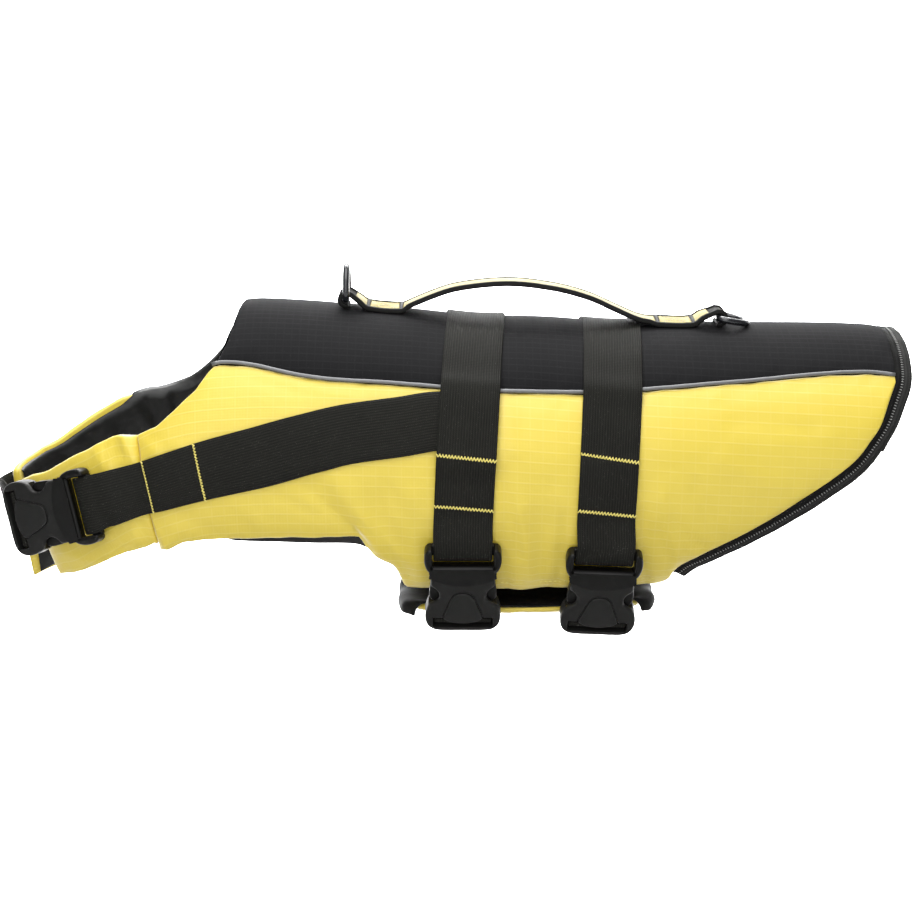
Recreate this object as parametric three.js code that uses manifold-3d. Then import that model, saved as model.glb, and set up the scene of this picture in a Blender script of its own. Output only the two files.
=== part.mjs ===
// Dog life jacket, filled out as it is worn, with no wearer.
// Millimetres. +Z is up, -X is the neck end, +X the tail end, -Y the near side with the buckles.
// The origin is on the inside of the lining, under the ridge at mid back, where the dog's back
// carries the jacket.
//
// Every cloth piece is a wall on one body form. A place on the form is given by two numbers:
//   along  length round the side of the body, from the middle of the chest (0) to the tail, in mm
//   round  turn round the trunk from the ridge of the back (0) down to the belly (180), in degrees
// A positive turn goes down the near side, a negative one down the far side.

import * as THREE from 'three';
import { mergeVertices } from 'three/addons/utils/BufferGeometryUtils.js';
import Module from 'manifold-3d';

const wasm = await Module();
wasm.setup();

// Driving sizes
const webbingWidth = 38;
const webbingThickness = 2;
const doubledWebbing = 3.6;      // webbing sewn back on itself above a buckle
const foamWall = 7;              // cloth, foam and inner cloth of a padded panel
const liningWall = 1.2;
const layGap = 0.5;              // under a strap that lies on a panel
const liningGap = 1.1;           // inside a padded panel, whose wall is flat between its points
const edgeRoll = 2.2;            // rounding of a padded panel's edge
const halfSeam = 0.28;           // from a seam's line to each panel's edge, in degrees
const panelStep = 22;            // between the points of a panel's edge
const strapRest = 0.75;          // a stiff strap's middle, over a panel that curves across it
const pipingLift = 2.8;          // of a girth strap over the piping
const neckStrapLift = 3.1;       // of the front girth strap over the neck strap
const bellyBuckleLift = 4.2;     // of a girth strap up to its buckle's crossbar
const chestBuckleLift = 5.2;     // of the near neck strap up to its buckle's crossbar
const chestStandOff = 8.6;       // of the far neck strap from the front of the chest
const pipingRadius = 1.4;
const pipingHeight = 1.2;        // of its centre over the panels
const hemTapeWidth = 10.8;
const hemTapeThickness = 4;
const handleWidth = 25;
const handleCore = 2.4;
const handleBinding = { width: 3.6, height: 1.2 };
const handleSide = -6;           // the handle lies this far to the near side of the ridge
const ringWire = 2.2;            // radius of the D-ring's wire
const ringWidth = 30.4;          // between the centres of its two sides
const ringHeight = 20;           // from the bar's centre to the top of the arc
const ringLoop = { clearance: 0.4, thickness: 3.6 };
const buckle = { length: 70, thickness: 12, mouth: 28.3 };

// The body form: one row for each section of the trunk and of the bow in front of the chest.
// x is the section's place, half its half width, top, wide and base the heights of its ridge, of
// its widest line and of its lowest line, and lean the section's forward tilt in degrees.
const sectionRows = [
  { along: 0, x: -354, half: 0, top: -60, wide: -128, base: -196, lean: 13.5 },
  { along: 17, x: -350.5, half: 17, top: -60, wide: -128, base: -196, lean: 13.5 },
  { along: 35, x: -341, half: 32, top: -56, wide: -127, base: -195, lean: 13.5 },
  { along: 58, x: -324, half: 47, top: -44, wide: -124, base: -192, lean: 13 },
  { along: 87, x: -299, half: 62, top: -16, wide: -112, base: -186, lean: 11 },
  { along: 121, x: -267, half: 75, top: 12, wide: -96, base: -180, lean: 7 },
  { along: 153, x: -236, half: 80, top: 22, wide: -84, base: -177, lean: 3 },
  { along: 185, x: -204, half: 83, top: 23, wide: -76, base: -176, lean: 0 },
  { along: 224, x: -165, half: 86, top: 21, wide: -72, base: -178, lean: 0 },
  { along: 279, x: -110, half: 89, top: 16.5, wide: -72, base: -182, lean: 0 },
  { along: 339, x: -50, half: 91, top: 12, wide: -72, base: -185, lean: 0 },
  { along: 399, x: 10, half: 88, top: 9, wide: -72, base: -185, lean: 0 },
  { along: 459, x: 70, half: 83, top: 6.8, wide: -70, base: -181, lean: 0 },
  { along: 520, x: 130, half: 77, top: 5.8, wide: -66, base: -172, lean: 0 },
  { along: 580, x: 190, half: 71, top: 5.5, wide: -62, base: -160, lean: 0 },
  { along: 640, x: 250, half: 65, top: 4, wide: -58, base: -148, lean: 0 },
  { along: 700, x: 310, half: 59, top: 2, wide: -54, base: -136, lean: 0 },
];
const shoulder = 0.92;           // below 1 the section is squarer than an ellipse

// Edge lines of the pattern, each a short list of places on the form.
const neckline = [
  { along: 32, round: 61.4 }, { along: 46, round: 59.8 }, { along: 73, round: 62.5 },
  { along: 94, round: 64.7 }, { along: 112, round: 65.4 }, { along: 125, round: 69 },
  { along: 140, round: 68.4 }, { along: 151, round: 64.2 }, { along: 164, round: 57.9 },
  { along: 174, round: 48.6 },
];
// The far edge of the neck stands a little higher than the near one.
const farNeckline = [
  { along: -3, round: 60 }, { along: 8, round: 57 }, { along: 22, round: 54.5 },
  { along: 40, round: 52.4 }, { along: 63, round: 53.2 }, { along: 82, round: 56.2 },
  { along: 92, round: 57.4 }, { along: 101, round: 58.6 }, { along: 112, round: 61.6 },
  { along: 125, round: 64.6 }, { along: 134, round: 65.5 }, { along: 143, round: 65.6 },
  { along: 151, round: 63.6 }, { along: 158, round: 60.8 }, { along: 164, round: 57 },
  { along: 174, round: 48.6 },
];
const saddleFront = [
  { along: 174, round: 48.6 }, { along: 181, round: 36.7 }, { along: 184.5, round: 18 },
  { along: 186, round: 0 },
];
const seamLine = [
  { along: 174, round: 48.6 }, { along: 179, round: 47.7 }, { along: 198, round: 49 },
  { along: 227, round: 53 }, { along: 248, round: 54.3 }, { along: 287, round: 54.4 },
  { along: 322, round: 55 }, { along: 359, round: 55.9 }, { along: 409, round: 56 },
  { along: 448, round: 54.9 }, { along: 478, round: 53.7 }, { along: 530, round: 51.5 },
  { along: 565, round: 49.5 }, { along: 600, round: 49.1 }, { along: 617, round: 51.7 },
];
const flapLow = [
  { along: 45, round: 120 }, { along: 57, round: 120 }, { along: 73, round: 119.4 },
  { along: 99, round: 116.1 }, { along: 118, round: 116.1 }, { along: 130, round: 116.8 },
];
const sideLow = [
  { along: 131, round: 120.5 }, { along: 138, round: 120.5 }, { along: 150, round: 118.3 },
  { along: 190, round: 119.8 }, { along: 233, round: 119.1 }, { along: 266, round: 118.4 },
  { along: 271, round: 121.8 }, { along: 278, round: 127.1 }, { along: 289, round: 132.3 },
  { along: 293.5, round: 140.5 }, { along: 298, round: 146.4 }, { along: 318, round: 145.9 },
  { along: 359, round: 145.4 }, { along: 399, round: 146.2 }, { along: 448, round: 147.5 },
  { along: 463, round: 147.4 }, { along: 471, round: 145.7 }, { along: 474.6, round: 140.5 },
];
const hemLine = [
  { along: 474.6, round: 140.5 }, { along: 484, round: 134.2 }, { along: 504, round: 127.9 },
  { along: 529, round: 120.4 }, { along: 546, round: 115 }, { along: 568, round: 106.9 },
  { along: 591, round: 96.6 }, { along: 604, round: 83.4 }, { along: 612, round: 66.2 },
  { along: 616.6, round: 53.6 }, { along: 617.5, round: 36 }, { along: 616.8, round: 16 },
  { along: 616.5, round: 0 },
];
// A column of the side panel runs from a place on its lower edge to one on its upper edge.
const columnLean = [
  { low: 131, top: 126.5 }, { low: 190, top: 174 }, { low: 298, top: 284 },
  { low: 393, top: 391 }, { low: 474.6, top: 486 }, { low: 568, top: 584 },
  { low: 604, top: 611.5 }, { low: 614.5, top: 616 },
];
const neckStrapLine = [
  { along: 101, round: 86.8 }, { along: 108, round: 87.6 }, { along: 132, round: 89.3 },
  { along: 166, round: 88.9 }, { along: 200, round: 86.5 }, { along: 231, round: 82.1 },
  { along: 262, round: 77 }, { along: 296, round: 73.2 }, { along: 320, round: 70.2 },
  { along: 354, round: 70.4 },
];
// Girth straps and the belly buckles under them: along at the ridge and at the buckle, and the
// turn at which the buckle starts.
const girthStraps = {
  front: { ridge: 344, low: 334.5, buckleRound: 116.4, buckleOut: 2, buckleSwing: 0 },
  rear: { ridge: 434, low: 426.5, buckleRound: 119.4, buckleOut: 3.1, buckleSwing: -3 },
};
const chestBuckle = { along: 98, round: 86.4, out: 1.4, yaw: 28, dip: 15.4 };
const doubledFrom = 86;          // the turn at which a girth strap's sewn-back end starts
const buckleDrop = 27;           // a belly buckle hangs this far from upright, in degrees

// The far neck strap's last stretch, round the front of the chest.
const chestFrontLine = [
  { along: 60, round: -81.5 }, { along: 38, round: -79.4 }, { along: 18, round: -79 },
  { along: 2, round: -79.6 },
];
// Behind the chest a place's x is its length along the form less this.
const straightOffset = 389;
// The belly panel's section, near edge to far seam, and its rounded near corners (inset).
const belly = { centre: -11, half: 78 };
const bellyRows = [
  { side: -0.52, rise: 3.6, wall: 4.2, inset: 11 }, { side: -0.44, rise: 1.1, wall: 5.8, inset: 4 },
  { side: -0.32, rise: -0.4, wall: 7, inset: 1 }, { side: -0.15, rise: -1.6, wall: 7, inset: 0 },
  { side: 0.03, rise: -2, wall: 7, inset: 0 }, { side: 0.2, rise: -0.6, wall: 7, inset: 0 },
  { side: 0.34, rise: 3.4, wall: 7, inset: 1 }, { side: 0.46, rise: 9.6, wall: 7, inset: 2 },
  { side: 0.56, rise: 17, wall: 7, inset: 3 },
];
// The handle: its two rings, the ends of its two sewn boxes, and the underside of its arch.
const handleEnds = {
  frontRing: -131.5, rearRing: 115.5, boxes: [-117.5, -95, 75, 98.5],
  boxClearance: 1.2, boxRoll: 5, archRoll: 3,
};
const handleArch = [
  { x: -78, z: 23.8 }, { x: -58, z: 30.4 }, { x: -24, z: 33.7 }, { x: 6, z: 30.4 },
  { x: 28.5, z: 24.4 }, { x: 46.5, z: 16.4 }, { x: 62, z: 9.8 },
];
const ringTilt = { front: 0, rear: 102 };   // from upright towards the tail, in degrees

// Largest folds, as soft troughs (depth below 0) and ridges, on both sides alike.
const foldRows = [
  { fromAlong: 125, fromRound: 66, toAlong: 131, toRound: 120, width: 6.5, depth: -2.6 },
  { fromAlong: 108, fromRound: 63, toAlong: 114, toRound: 74, width: 4.5, depth: -1.6 },
  { fromAlong: 240, fromRound: 97, toAlong: 268, toRound: 118, width: 8, depth: -2.6 },
  { fromAlong: 252, fromRound: 96, toAlong: 284, toRound: 126, width: 9, depth: 1.8 },
  { fromAlong: 283, fromRound: 104, toAlong: 296, toRound: 140, width: 10, depth: -1.8 },
  { fromAlong: 384, fromRound: 112, toAlong: 392, toRound: 146, width: 11, depth: -1.6 },
  { fromAlong: 462, fromRound: 118, toAlong: 478, toRound: 138, width: 9, depth: -1.8 },
];
const strapSqueeze = { depth: -1.6, width: 25 };

const radians = THREE.MathUtils.degToRad;

// One value of the form at a length along it, on a smooth curve through the rows.
const mirroredRows = sectionRows.slice(1).reverse().map((row) => ({
  ...row, along: -row.along, half: -row.half,
}));
const formRows = [...mirroredRows, ...sectionRows];

function slopeAt(rows, index, key, name) {
  const before = rows[Math.max(index - 1, 0)];
  const after = rows[Math.min(index + 1, rows.length - 1)];
  return (after[name] - before[name]) / (after[key] - before[key]);
}

function smoothValue(rows, key, name, at) {
  const last = rows.length - 1;
  const clamped = Math.min(Math.max(at, rows[0][key]), rows[last][key]);
  let index = rows.findIndex((row) => row[key] > clamped) - 1;
  if (index < 0) index = last - 1;
  const span = rows[index + 1][key] - rows[index][key];
  const f = (clamped - rows[index][key]) / span;
  const f2 = f * f;
  const f3 = f2 * f;
  return (2 * f3 - 3 * f2 + 1) * rows[index][name]
    + (f3 - 2 * f2 + f) * span * slopeAt(rows, index, key, name)
    + (3 * f2 - 2 * f3) * rows[index + 1][name]
    + (f3 - f2) * span * slopeAt(rows, index + 1, key, name);
}

function straightValue(rows, key, name, at) {
  const last = rows.length - 1;
  const clamped = Math.min(Math.max(at, rows[0][key]), rows[last][key]);
  let index = rows.findIndex((row) => row[key] > clamped) - 1;
  if (index < 0) index = last - 1;
  const f = (clamped - rows[index][key]) / (rows[index + 1][key] - rows[index][key]);
  return rows[index][name] * (1 - f) + rows[index + 1][name] * f;
}

function formPoint(along, round) {
  const at = (name) => smoothValue(formRows, 'along', name, along);
  const turn = radians(round);
  const reach = Math.abs(round) < 90 ? at('top') - at('wide') : at('wide') - at('base');
  const rise = reach * Math.cos(turn);
  const out = at('half') * Math.sign(Math.sin(turn)) * Math.abs(Math.sin(turn)) ** shoulder;
  const lean = radians(at('lean'));
  return new THREE.Vector3(
    at('x') - Math.sin(lean) * rise,
    -out,
    at('wide') + Math.cos(lean) * rise,
  );
}

// Directions on the form: outward, along the body, and down the section.
function formFrame(along, round) {
  const alongStep = formPoint(along + 0.5, round).sub(formPoint(along - 0.5, round));
  const roundStep = formPoint(along, round + 0.5).sub(formPoint(along, round - 0.5));
  const outward = new THREE.Vector3().crossVectors(roundStep, alongStep).normalize();
  return { outward, alongStep, roundStep };
}

function foldDepth(along, round) {
  const turn = Math.abs(round);
  const mmPerDegree = 1.6;
  let depth = 0;
  for (const fold of foldRows) {
    const dx = fold.toAlong - fold.fromAlong;
    const dy = (fold.toRound - fold.fromRound) * mmPerDegree;
    const px = along - fold.fromAlong;
    const py = (turn - fold.fromRound) * mmPerDegree;
    const length = Math.hypot(dx, dy);
    const t = (px * dx + py * dy) / (length * length);
    const across = (px * dy - py * dx) / length;
    const past = Math.max(0, -t, t - 1) * length;
    depth += fold.depth * Math.exp(-((across / fold.width) ** 2) - (past / fold.width) ** 2);
  }
  for (const strap of Object.values(girthStraps)) {
    const centre = strapAlong(strap, round);
    depth += strapSqueeze.depth * Math.exp(-(((along - centre) / strapSqueeze.width) ** 2));
  }
  return depth;
}

function strapAlong(strap, round) {
  const share = Math.min(Math.abs(round) / 110, 1);
  return strap.ridge + (strap.low - strap.ridge) * share;
}

// A point of the outer face of the panels, moved out by a distance.
function facePoint(along, round, out = 0) {
  const { outward } = formFrame(along, round);
  return formPoint(along, round).addScaledVector(outward, foldDepth(along, round) + out);
}

// Solids from rings of points or from two grids of points.
function signedVolume(points, triangles) {
  let volume = 0;
  for (let i = 0; i < triangles.length; i += 3) {
    const a = points[triangles[i]];
    const b = points[triangles[i + 1]];
    const c = points[triangles[i + 2]];
    volume += a.dot(new THREE.Vector3().crossVectors(b, c)) / 6;
  }
  return volume;
}

function solidGeometry(points, triangles) {
  if (signedVolume(points, triangles) < 0) triangles.reverse();
  const geometry = new THREE.BufferGeometry();
  const positions = points.flatMap((point) => [point.x, point.y, point.z]);
  geometry.setAttribute('position', new THREE.Float32BufferAttribute(positions, 3));
  geometry.setIndex(triangles);
  return geometry;
}

function addQuad(triangles, a, b, c, d) {
  triangles.push(a, b, c, a, c, d);
}

// Rings hold the upper row of a section, then its lower row backwards, so an end is a ladder.
function sweepRings(rings, closed = false) {
  const size = rings[0].length;
  const points = rings.flat();
  const triangles = [];
  const spans = closed ? rings.length : rings.length - 1;
  for (let i = 0; i < spans; i += 1) {
    const here = i * size;
    const next = ((i + 1) % rings.length) * size;
    for (let j = 0; j < size; j += 1) {
      const k = (j + 1) % size;
      addQuad(triangles, here + j, here + k, next + k, next + j);
    }
  }
  if (!closed) {
    const last = (rings.length - 1) * size;
    for (let j = 0; j < size / 2 - 1; j += 1) {
      addQuad(triangles, j + 1, j, size - 1 - j, size - 2 - j);
      addQuad(triangles, last + j, last + j + 1, last + size - 2 - j, last + size - 1 - j);
    }
  }
  return solidGeometry(points, triangles);
}

// A wall between an outer and an inner grid, with its edge rounded by a middle row of points.
function wallGeometry(outer, inner, roll) {
  const rows = outer.length;
  const columns = outer[0].length;
  const middle = [];
  const edge = [];
  for (let j = 0; j < columns; j += 1) edge.push([0, j]);
  for (let i = 1; i < rows; i += 1) edge.push([i, columns - 1]);
  for (let j = columns - 2; j >= 0; j -= 1) edge.push([rows - 1, j]);
  for (let i = rows - 2; i > 0; i -= 1) edge.push([i, 0]);
  const inward = (i, size) => (i === 0 ? 1 : i === size - 1 ? size - 2 : i);
  for (const [i, j] of edge) {
    middle.push(outer[i][j].clone().add(inner[i][j]).multiplyScalar(0.5));
  }
  if (roll > 0) {
    const moved = edge.map(([i, j]) => [outer, inner].map((grid) => {
      const step = grid[inward(i, rows)][inward(j, columns)].clone().sub(grid[i][j]);
      return grid[i][j].clone().addScaledVector(step, Math.min(roll / step.length(), 0.45));
    }));
    edge.forEach(([i, j], index) => {
      [outer[i][j], inner[i][j]] = moved[index];
    });
  }
  const points = [...outer.flat(), ...inner.flat(), ...middle];
  const innerStart = rows * columns;
  const middleStart = 2 * innerStart;
  const triangles = [];
  for (let i = 0; i < rows - 1; i += 1) {
    for (let j = 0; j < columns - 1; j += 1) {
      const a = i * columns + j;
      addQuad(triangles, a, a + 1, a + columns + 1, a + columns);
      addQuad(triangles, innerStart + a + columns, innerStart + a + columns + 1,
        innerStart + a + 1, innerStart + a);
    }
  }
  for (let k = 0; k < edge.length; k += 1) {
    const next = (k + 1) % edge.length;
    const here = edge[k][0] * columns + edge[k][1];
    const there = edge[next][0] * columns + edge[next][1];
    addQuad(triangles, there, here, middleStart + k, middleStart + next);
    addQuad(triangles, middleStart + next, middleStart + k, innerStart + here,
      innerStart + there);
  }
  return solidGeometry(points, triangles);
}

const jacket = new THREE.Group();
const colours = {
  ripstopYellow: { color: 0xf3dc66, roughness: 0.62, metalness: 0 },
  ripstopCharcoal: { color: 0x3f3f40, roughness: 0.7, metalness: 0 },
  liningBlack: { color: 0x232324, roughness: 0.4, metalness: 0 },
  webbingBlack: { color: 0x2b2b27, roughness: 0.75, metalness: 0 },
  reflectiveGrey: { color: 0x8f9090, roughness: 0.45, metalness: 0.1 },
  plasticBlack: { color: 0x262624, roughness: 0.45, metalness: 0 },
  ringBlack: { color: 0x2c2d2f, roughness: 0.3, metalness: 0 },
};

function addPiece(name, geometry, finish) {
  const mesh = new THREE.Mesh(geometry, new THREE.MeshStandardMaterial(colours[finish]));
  mesh.name = name;
  jacket.add(mesh);
  return mesh;
}

// Points of a line no further apart than a step, with its own corners kept.
function walkLine(rows, step) {
  const places = [];
  for (let i = 0; i < rows.length - 1; i += 1) {
    const dx = rows[i + 1].along - rows[i].along;
    const dy = (rows[i + 1].round - rows[i].round) * 1.4;
    const parts = Math.max(1, Math.ceil(Math.hypot(dx, dy) / step));
    for (let k = 0; k < parts; k += 1) {
      const f = k / parts;
      places.push({
        along: rows[i].along + (rows[i + 1].along - rows[i].along) * f,
        round: rows[i].round + (rows[i + 1].round - rows[i].round) * f,
      });
    }
  }
  places.push({ ...rows[rows.length - 1] });
  return places;
}

// A patch of the form between an upper and a lower line with as many places each.
function patchGrids(upper, lower, rowCount, side, outerAt, innerAt) {
  const outer = [];
  const inner = [];
  for (let i = 0; i <= rowCount; i += 1) {
    const f = i / rowCount;
    const outerRow = [];
    const innerRow = [];
    upper.forEach((top, index) => {
      const low = lower[index];
      const along = top.along * (1 - f) + low.along * f;
      const round = (top.round * (1 - f) + low.round * f) * side;
      outerRow.push(facePoint(along, round, outerAt));
      innerRow.push(facePoint(along, round, innerAt));
    });
    outer.push(outerRow);
    inner.push(innerRow);
  }
  return { outer, inner };
}

function buildSidePanel(name, side, neckRows) {
  const lower = walkLine([...sideLow, ...hemLine.slice(1, 9)], panelStep);
  lower[lower.length - 1] = { along: 614.5, round: 58 };
  const upperEdge = [...neckRows, ...seamLine.slice(1)];
  const upper = lower.map((place) => {
    const along = straightValue(columnLean, 'low', 'top', place.along);
    return { along, round: straightValue(upperEdge, 'along', 'round', along) + halfSeam };
  });
  const { outer, inner } = patchGrids(upper, lower, 9, side, 0, -foamWall);
  addPiece(name, wallGeometry(outer, inner, edgeRoll), 'ripstopYellow');
}

function buildSaddle() {
  const steps = 22;
  const turns = 14;
  const seamStart = 175;
  const seamEnd = 616.3;
  const backwards = [...saddleFront].reverse();
  const outer = [];
  const inner = [];
  for (let j = 0; j <= turns; j += 1) {
    const across = (j / turns) * 2 - 1;
    const outerRow = [];
    const innerRow = [];
    for (let i = 0; i <= steps; i += 1) {
      const f = i / steps;
      const seamAlong = seamStart + (seamEnd - seamStart) * f;
      const seamRound = straightValue(seamLine, 'along', 'round', seamAlong) - halfSeam;
      const turn = Math.abs(across) * seamRound;
      const lead = straightValue(backwards, 'round', 'along', turn) - saddleFront[0].along;
      const along = seamAlong + lead * (1 - f);
      outerRow.push(facePoint(along, seamRound * across));
      innerRow.push(facePoint(along, seamRound * across, -foamWall));
    }
    outer.push(outerRow);
    inner.push(innerRow);
  }
  addPiece('saddle_panel', wallGeometry(outer, inner, edgeRoll), 'ripstopCharcoal');
}

// A flap in front of the chest, from the side panel forward to its free end. The near one
// stops behind the buckle, the far one reaches the middle of the chest and flares there.
function buildFlap(name, side, neckRows, freeTop, freeLow, flare) {
  const steps = 9;
  const rows = 7;
  const hinge = { top: 125.6, low: 130 };
  const flareReach = 0.35;
  const outer = [];
  const inner = [];
  for (let i = 0; i <= rows; i += 1) {
    const f = i / rows;
    const outerRow = [];
    const innerRow = [];
    for (let j = 0; j <= steps; j += 1) {
      const g = j / steps;
      const topAlong = freeTop + (hinge.top - freeTop) * g;
      const lowAlong = freeLow.along + (hinge.low - freeLow.along) * g;
      const topRound = straightValue(neckRows, 'along', 'round', topAlong);
      const lowRound = straightValue(flapLow, 'along', 'round', lowAlong)
        + (freeLow.round - flapLow[0].round) * (1 - g);
      const along = topAlong * (1 - f) + lowAlong * f;
      const round = topRound * (1 - f) + lowRound * f;
      const out = flare * f * Math.max(0, 1 - g / flareReach) ** 2;
      outerRow.push(facePoint(along, round * side, out));
      innerRow.push(facePoint(along, round * side, out - foamWall));
    }
    outer.push(outerRow);
    inner.push(innerRow);
  }
  addPiece(name, wallGeometry(outer, inner, edgeRoll), 'ripstopYellow');
}

// One half of the lining, from the seam along the back to the lower edge, neck to tail.
function buildLining(name, side, neckRows, freeEnd) {
  const liningStep = 24;
  const neckInset = 2;
  const ridgeSeam = { from: 186.5, round: 0.35 };
  const lower = walkLine([
    { along: freeEnd.low, round: 118 }, { along: 73, round: 117.4 }, { along: 118, round: 115 },
    { along: 131, round: 118 }, { along: 150, round: 118 }, { along: 176, round: 120.3 },
    { along: 182, round: 121 }, { along: 186, round: 121.3 }, { along: 190, round: 121.6 },
    { along: 233, round: 121.4 }, { along: 262, round: 120.6 }, { along: 278, round: 125.5 },
    { along: 300, round: 142 }, { along: 359, round: 143.4 }, { along: 448, round: 145 },
    { along: 471, round: 142.5 }, { along: 484, round: 133 }, { along: 504, round: 126.5 },
    { along: 546, round: 113 }, { along: 568, round: 105 }, { along: 590, round: 95 },
    { along: 602, round: 83 }, { along: 610, round: 66 }, { along: 614, round: 50 },
    { along: 615, round: 30 },
  ], liningStep);
  const lean = [
    { low: freeEnd.low, top: freeEnd.top }, { low: 118, top: 112 }, { low: 131, top: 127 },
    { low: 176, top: 174.5 }, { low: 182, top: 182 }, { low: 186, top: 185.6 },
    { low: 190, top: 187.2 }, { low: 471, top: 486 }, { low: 568, top: 590 },
    { low: 602, top: 608 }, { low: 610, top: 613 }, { low: 615, top: 615 },
  ];
  const rows = [...neckRows, ...saddleFront.slice(1)];
  const upper = lower.map((place) => {
    const along = straightValue(lean, 'low', 'top', place.along);
    if (along > ridgeSeam.from) return { along, round: ridgeSeam.round };
    return { along, round: straightValue(rows, 'along', 'round', along) + neckInset };
  });
  const outerAt = -foamWall - liningGap;
  const { outer, inner } = patchGrids(upper, lower, 8, side, outerAt, outerAt - liningWall);
  addPiece(name, wallGeometry(outer, inner, 0), 'liningBlack');
}

// A band on the form along a line: its section is set across the line in the form's own
// directions, at given distances from the line, between two heights over the panels.
function bandRings(places, across, lowAt, highAt) {
  return places.map((place, index) => {
    const before = places[Math.max(index - 1, 0)];
    const after = places[Math.min(index + 1, places.length - 1)];
    const { outward, alongStep, roundStep } = formFrame(place.along, place.round);
    const heading = formPoint(after.along, after.round)
      .sub(formPoint(before.along, before.round)).normalize();
    const sideways = new THREE.Vector3().crossVectors(outward, heading).normalize();
    const aa = alongStep.dot(alongStep);
    const rr = roundStep.dot(roundStep);
    const ar = alongStep.dot(roundStep);
    const sa = sideways.dot(alongStep);
    const sr = sideways.dot(roundStep);
    const det = aa * rr - ar * ar;
    const stepAlong = (sa * rr - sr * ar) / det;
    const stepRound = (sr * aa - sa * ar) / det;
    const row = (height) => across.map((distance) => facePoint(
      place.along + stepAlong * distance,
      place.round + stepRound * distance,
      height(place, distance),
    ));
    return [...row(highAt), ...row(lowAt).reverse()];
  });
}

function buildPiping(name, side) {
  const places = walkLine(seamLine.slice(0, -1), 17).map((place) => ({
    along: place.along, round: place.round * side,
  }));
  places.push({ along: 613, round: 51 * side });
  const rings = places.map((place, index) => {
    const before = places[Math.max(index - 1, 0)];
    const after = places[Math.min(index + 1, places.length - 1)];
    const centre = facePoint(place.along, place.round, pipingHeight);
    const { outward } = formFrame(place.along, place.round);
    const heading = formPoint(after.along, after.round)
      .sub(formPoint(before.along, before.round)).normalize();
    const sideways = new THREE.Vector3().crossVectors(outward, heading).normalize();
    const sides = 6;
    return Array.from({ length: sides }, (_, k) => {
      const turn = ((k + 0.5) / sides) * 2 * Math.PI;
      return centre.clone()
        .addScaledVector(sideways, Math.cos(turn) * pipingRadius)
        .addScaledVector(outward, Math.sin(turn) * pipingRadius);
    });
  });
  addPiece(name, sweepRings(rings), 'reflectiveGrey');
}

function bothSides(rows) {
  const near = rows.slice(0, -1);
  const far = near.map((row) => ({ ...row, round: -row.round })).reverse();
  return [...near, rows[rows.length - 1], ...far];
}

function buildHemTape() {
  const places = walkLine(bothSides(hemLine), panelStep);
  const across = [-hemTapeWidth, 0.9 - hemTapeWidth, -1.6, -0.7];
  const top = -(foamWall - hemTapeThickness) / 2;
  const rounded = (distance) => (distance === across[0] || distance === across[3] ? 0.8 : 0);
  const rings = bandRings(places, across,
    (place, distance) => top - hemTapeThickness + rounded(distance),
    (place, distance) => top - rounded(distance));
  addPiece('hem_tape', sweepRings(rings), 'webbingBlack');
}

function softStep(from, to, at) {
  return THREE.MathUtils.smoothstep(at, from, to);
}

// Lift of a girth strap over the piping and, for the front one, over the neck strap.
function strapLift(key, round) {
  const turn = Math.abs(round);
  const overPiping = pipingLift * Math.exp(-(((turn - 55.5) / 6.5) ** 2));
  if (key !== 'front') return overPiping;
  const overNeckStrap = neckStrapLift * softStep(46, 54, turn) * (1 - softStep(88, 94, turn));
  return Math.max(overPiping, overNeckStrap);
}

// Local axes of a fastened buckle: u from the webbing of the male half to the end of the
// female half, v across, w outward from its back.
function buckleFrame(origin, u, w) {
  const v = new THREE.Vector3().crossVectors(w, u).normalize();
  return new THREE.Matrix4().makeBasis(u, v, w).setPosition(origin);
}

function bellyBuckleFrame(key) {
  const strap = girthStraps[key];
  const origin = facePoint(strap.low, strap.buckleRound, strap.buckleOut);
  const drop = radians(buckleDrop);
  const swing = radians(strap.buckleSwing);
  const u = new THREE.Vector3(Math.sin(swing), Math.sin(drop), -Math.cos(drop)).normalize();
  const w = new THREE.Vector3(0, -Math.cos(drop), -Math.sin(drop));
  w.addScaledVector(u, -w.dot(u)).normalize();
  return buckleFrame(origin, u, w);
}

function chestBuckleFrame() {
  const origin = facePoint(chestBuckle.along, chestBuckle.round, chestBuckle.out);
  const yaw = radians(chestBuckle.yaw);
  const dip = radians(chestBuckle.dip);
  const u = new THREE.Vector3(
    -Math.cos(yaw) * Math.cos(dip), Math.sin(yaw) * Math.cos(dip), -Math.sin(dip),
  );
  const w = new THREE.Vector3(-Math.sin(yaw), -Math.cos(yaw), 0);
  return buckleFrame(origin, u, w);
}

const strapAcross = [-webbingWidth / 2, 0, webbingWidth / 2];

// Rings of a strap that runs in a buckle's own axes. Its outer face is on the left of the path,
// or on the right of it where the strap comes from the female end.
function buckleRings(frame, path, side, across = strapAcross) {
  return path.map((at, index) => {
    const next = path[Math.min(index + 1, path.length - 1)];
    const before = path[Math.max(index - 1, 0)];
    const length = Math.hypot(next.u - before.u, next.w - before.w);
    const normal = {
      u: (-side * (next.w - before.w)) / length,
      w: (side * (next.u - before.u)) / length,
    };
    const half = webbingThickness / 2;
    const row = (height) => across.map((distance) => new THREE.Vector3(
      at.u + normal.u * height,
      (at.v ?? 0) + side * distance,
      at.w + normal.w * height,
    ).applyMatrix4(frame));
    return [...row(half), ...row(-half).reverse()];
  });
}

// Over the crossbar of the male half and down into its slot.
const malePath = [{ u: 2, w: 6.9 }, { u: 8, w: 7 }, { u: 11.8, w: 5.4 }, { u: 12.9, w: 3 }];

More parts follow.
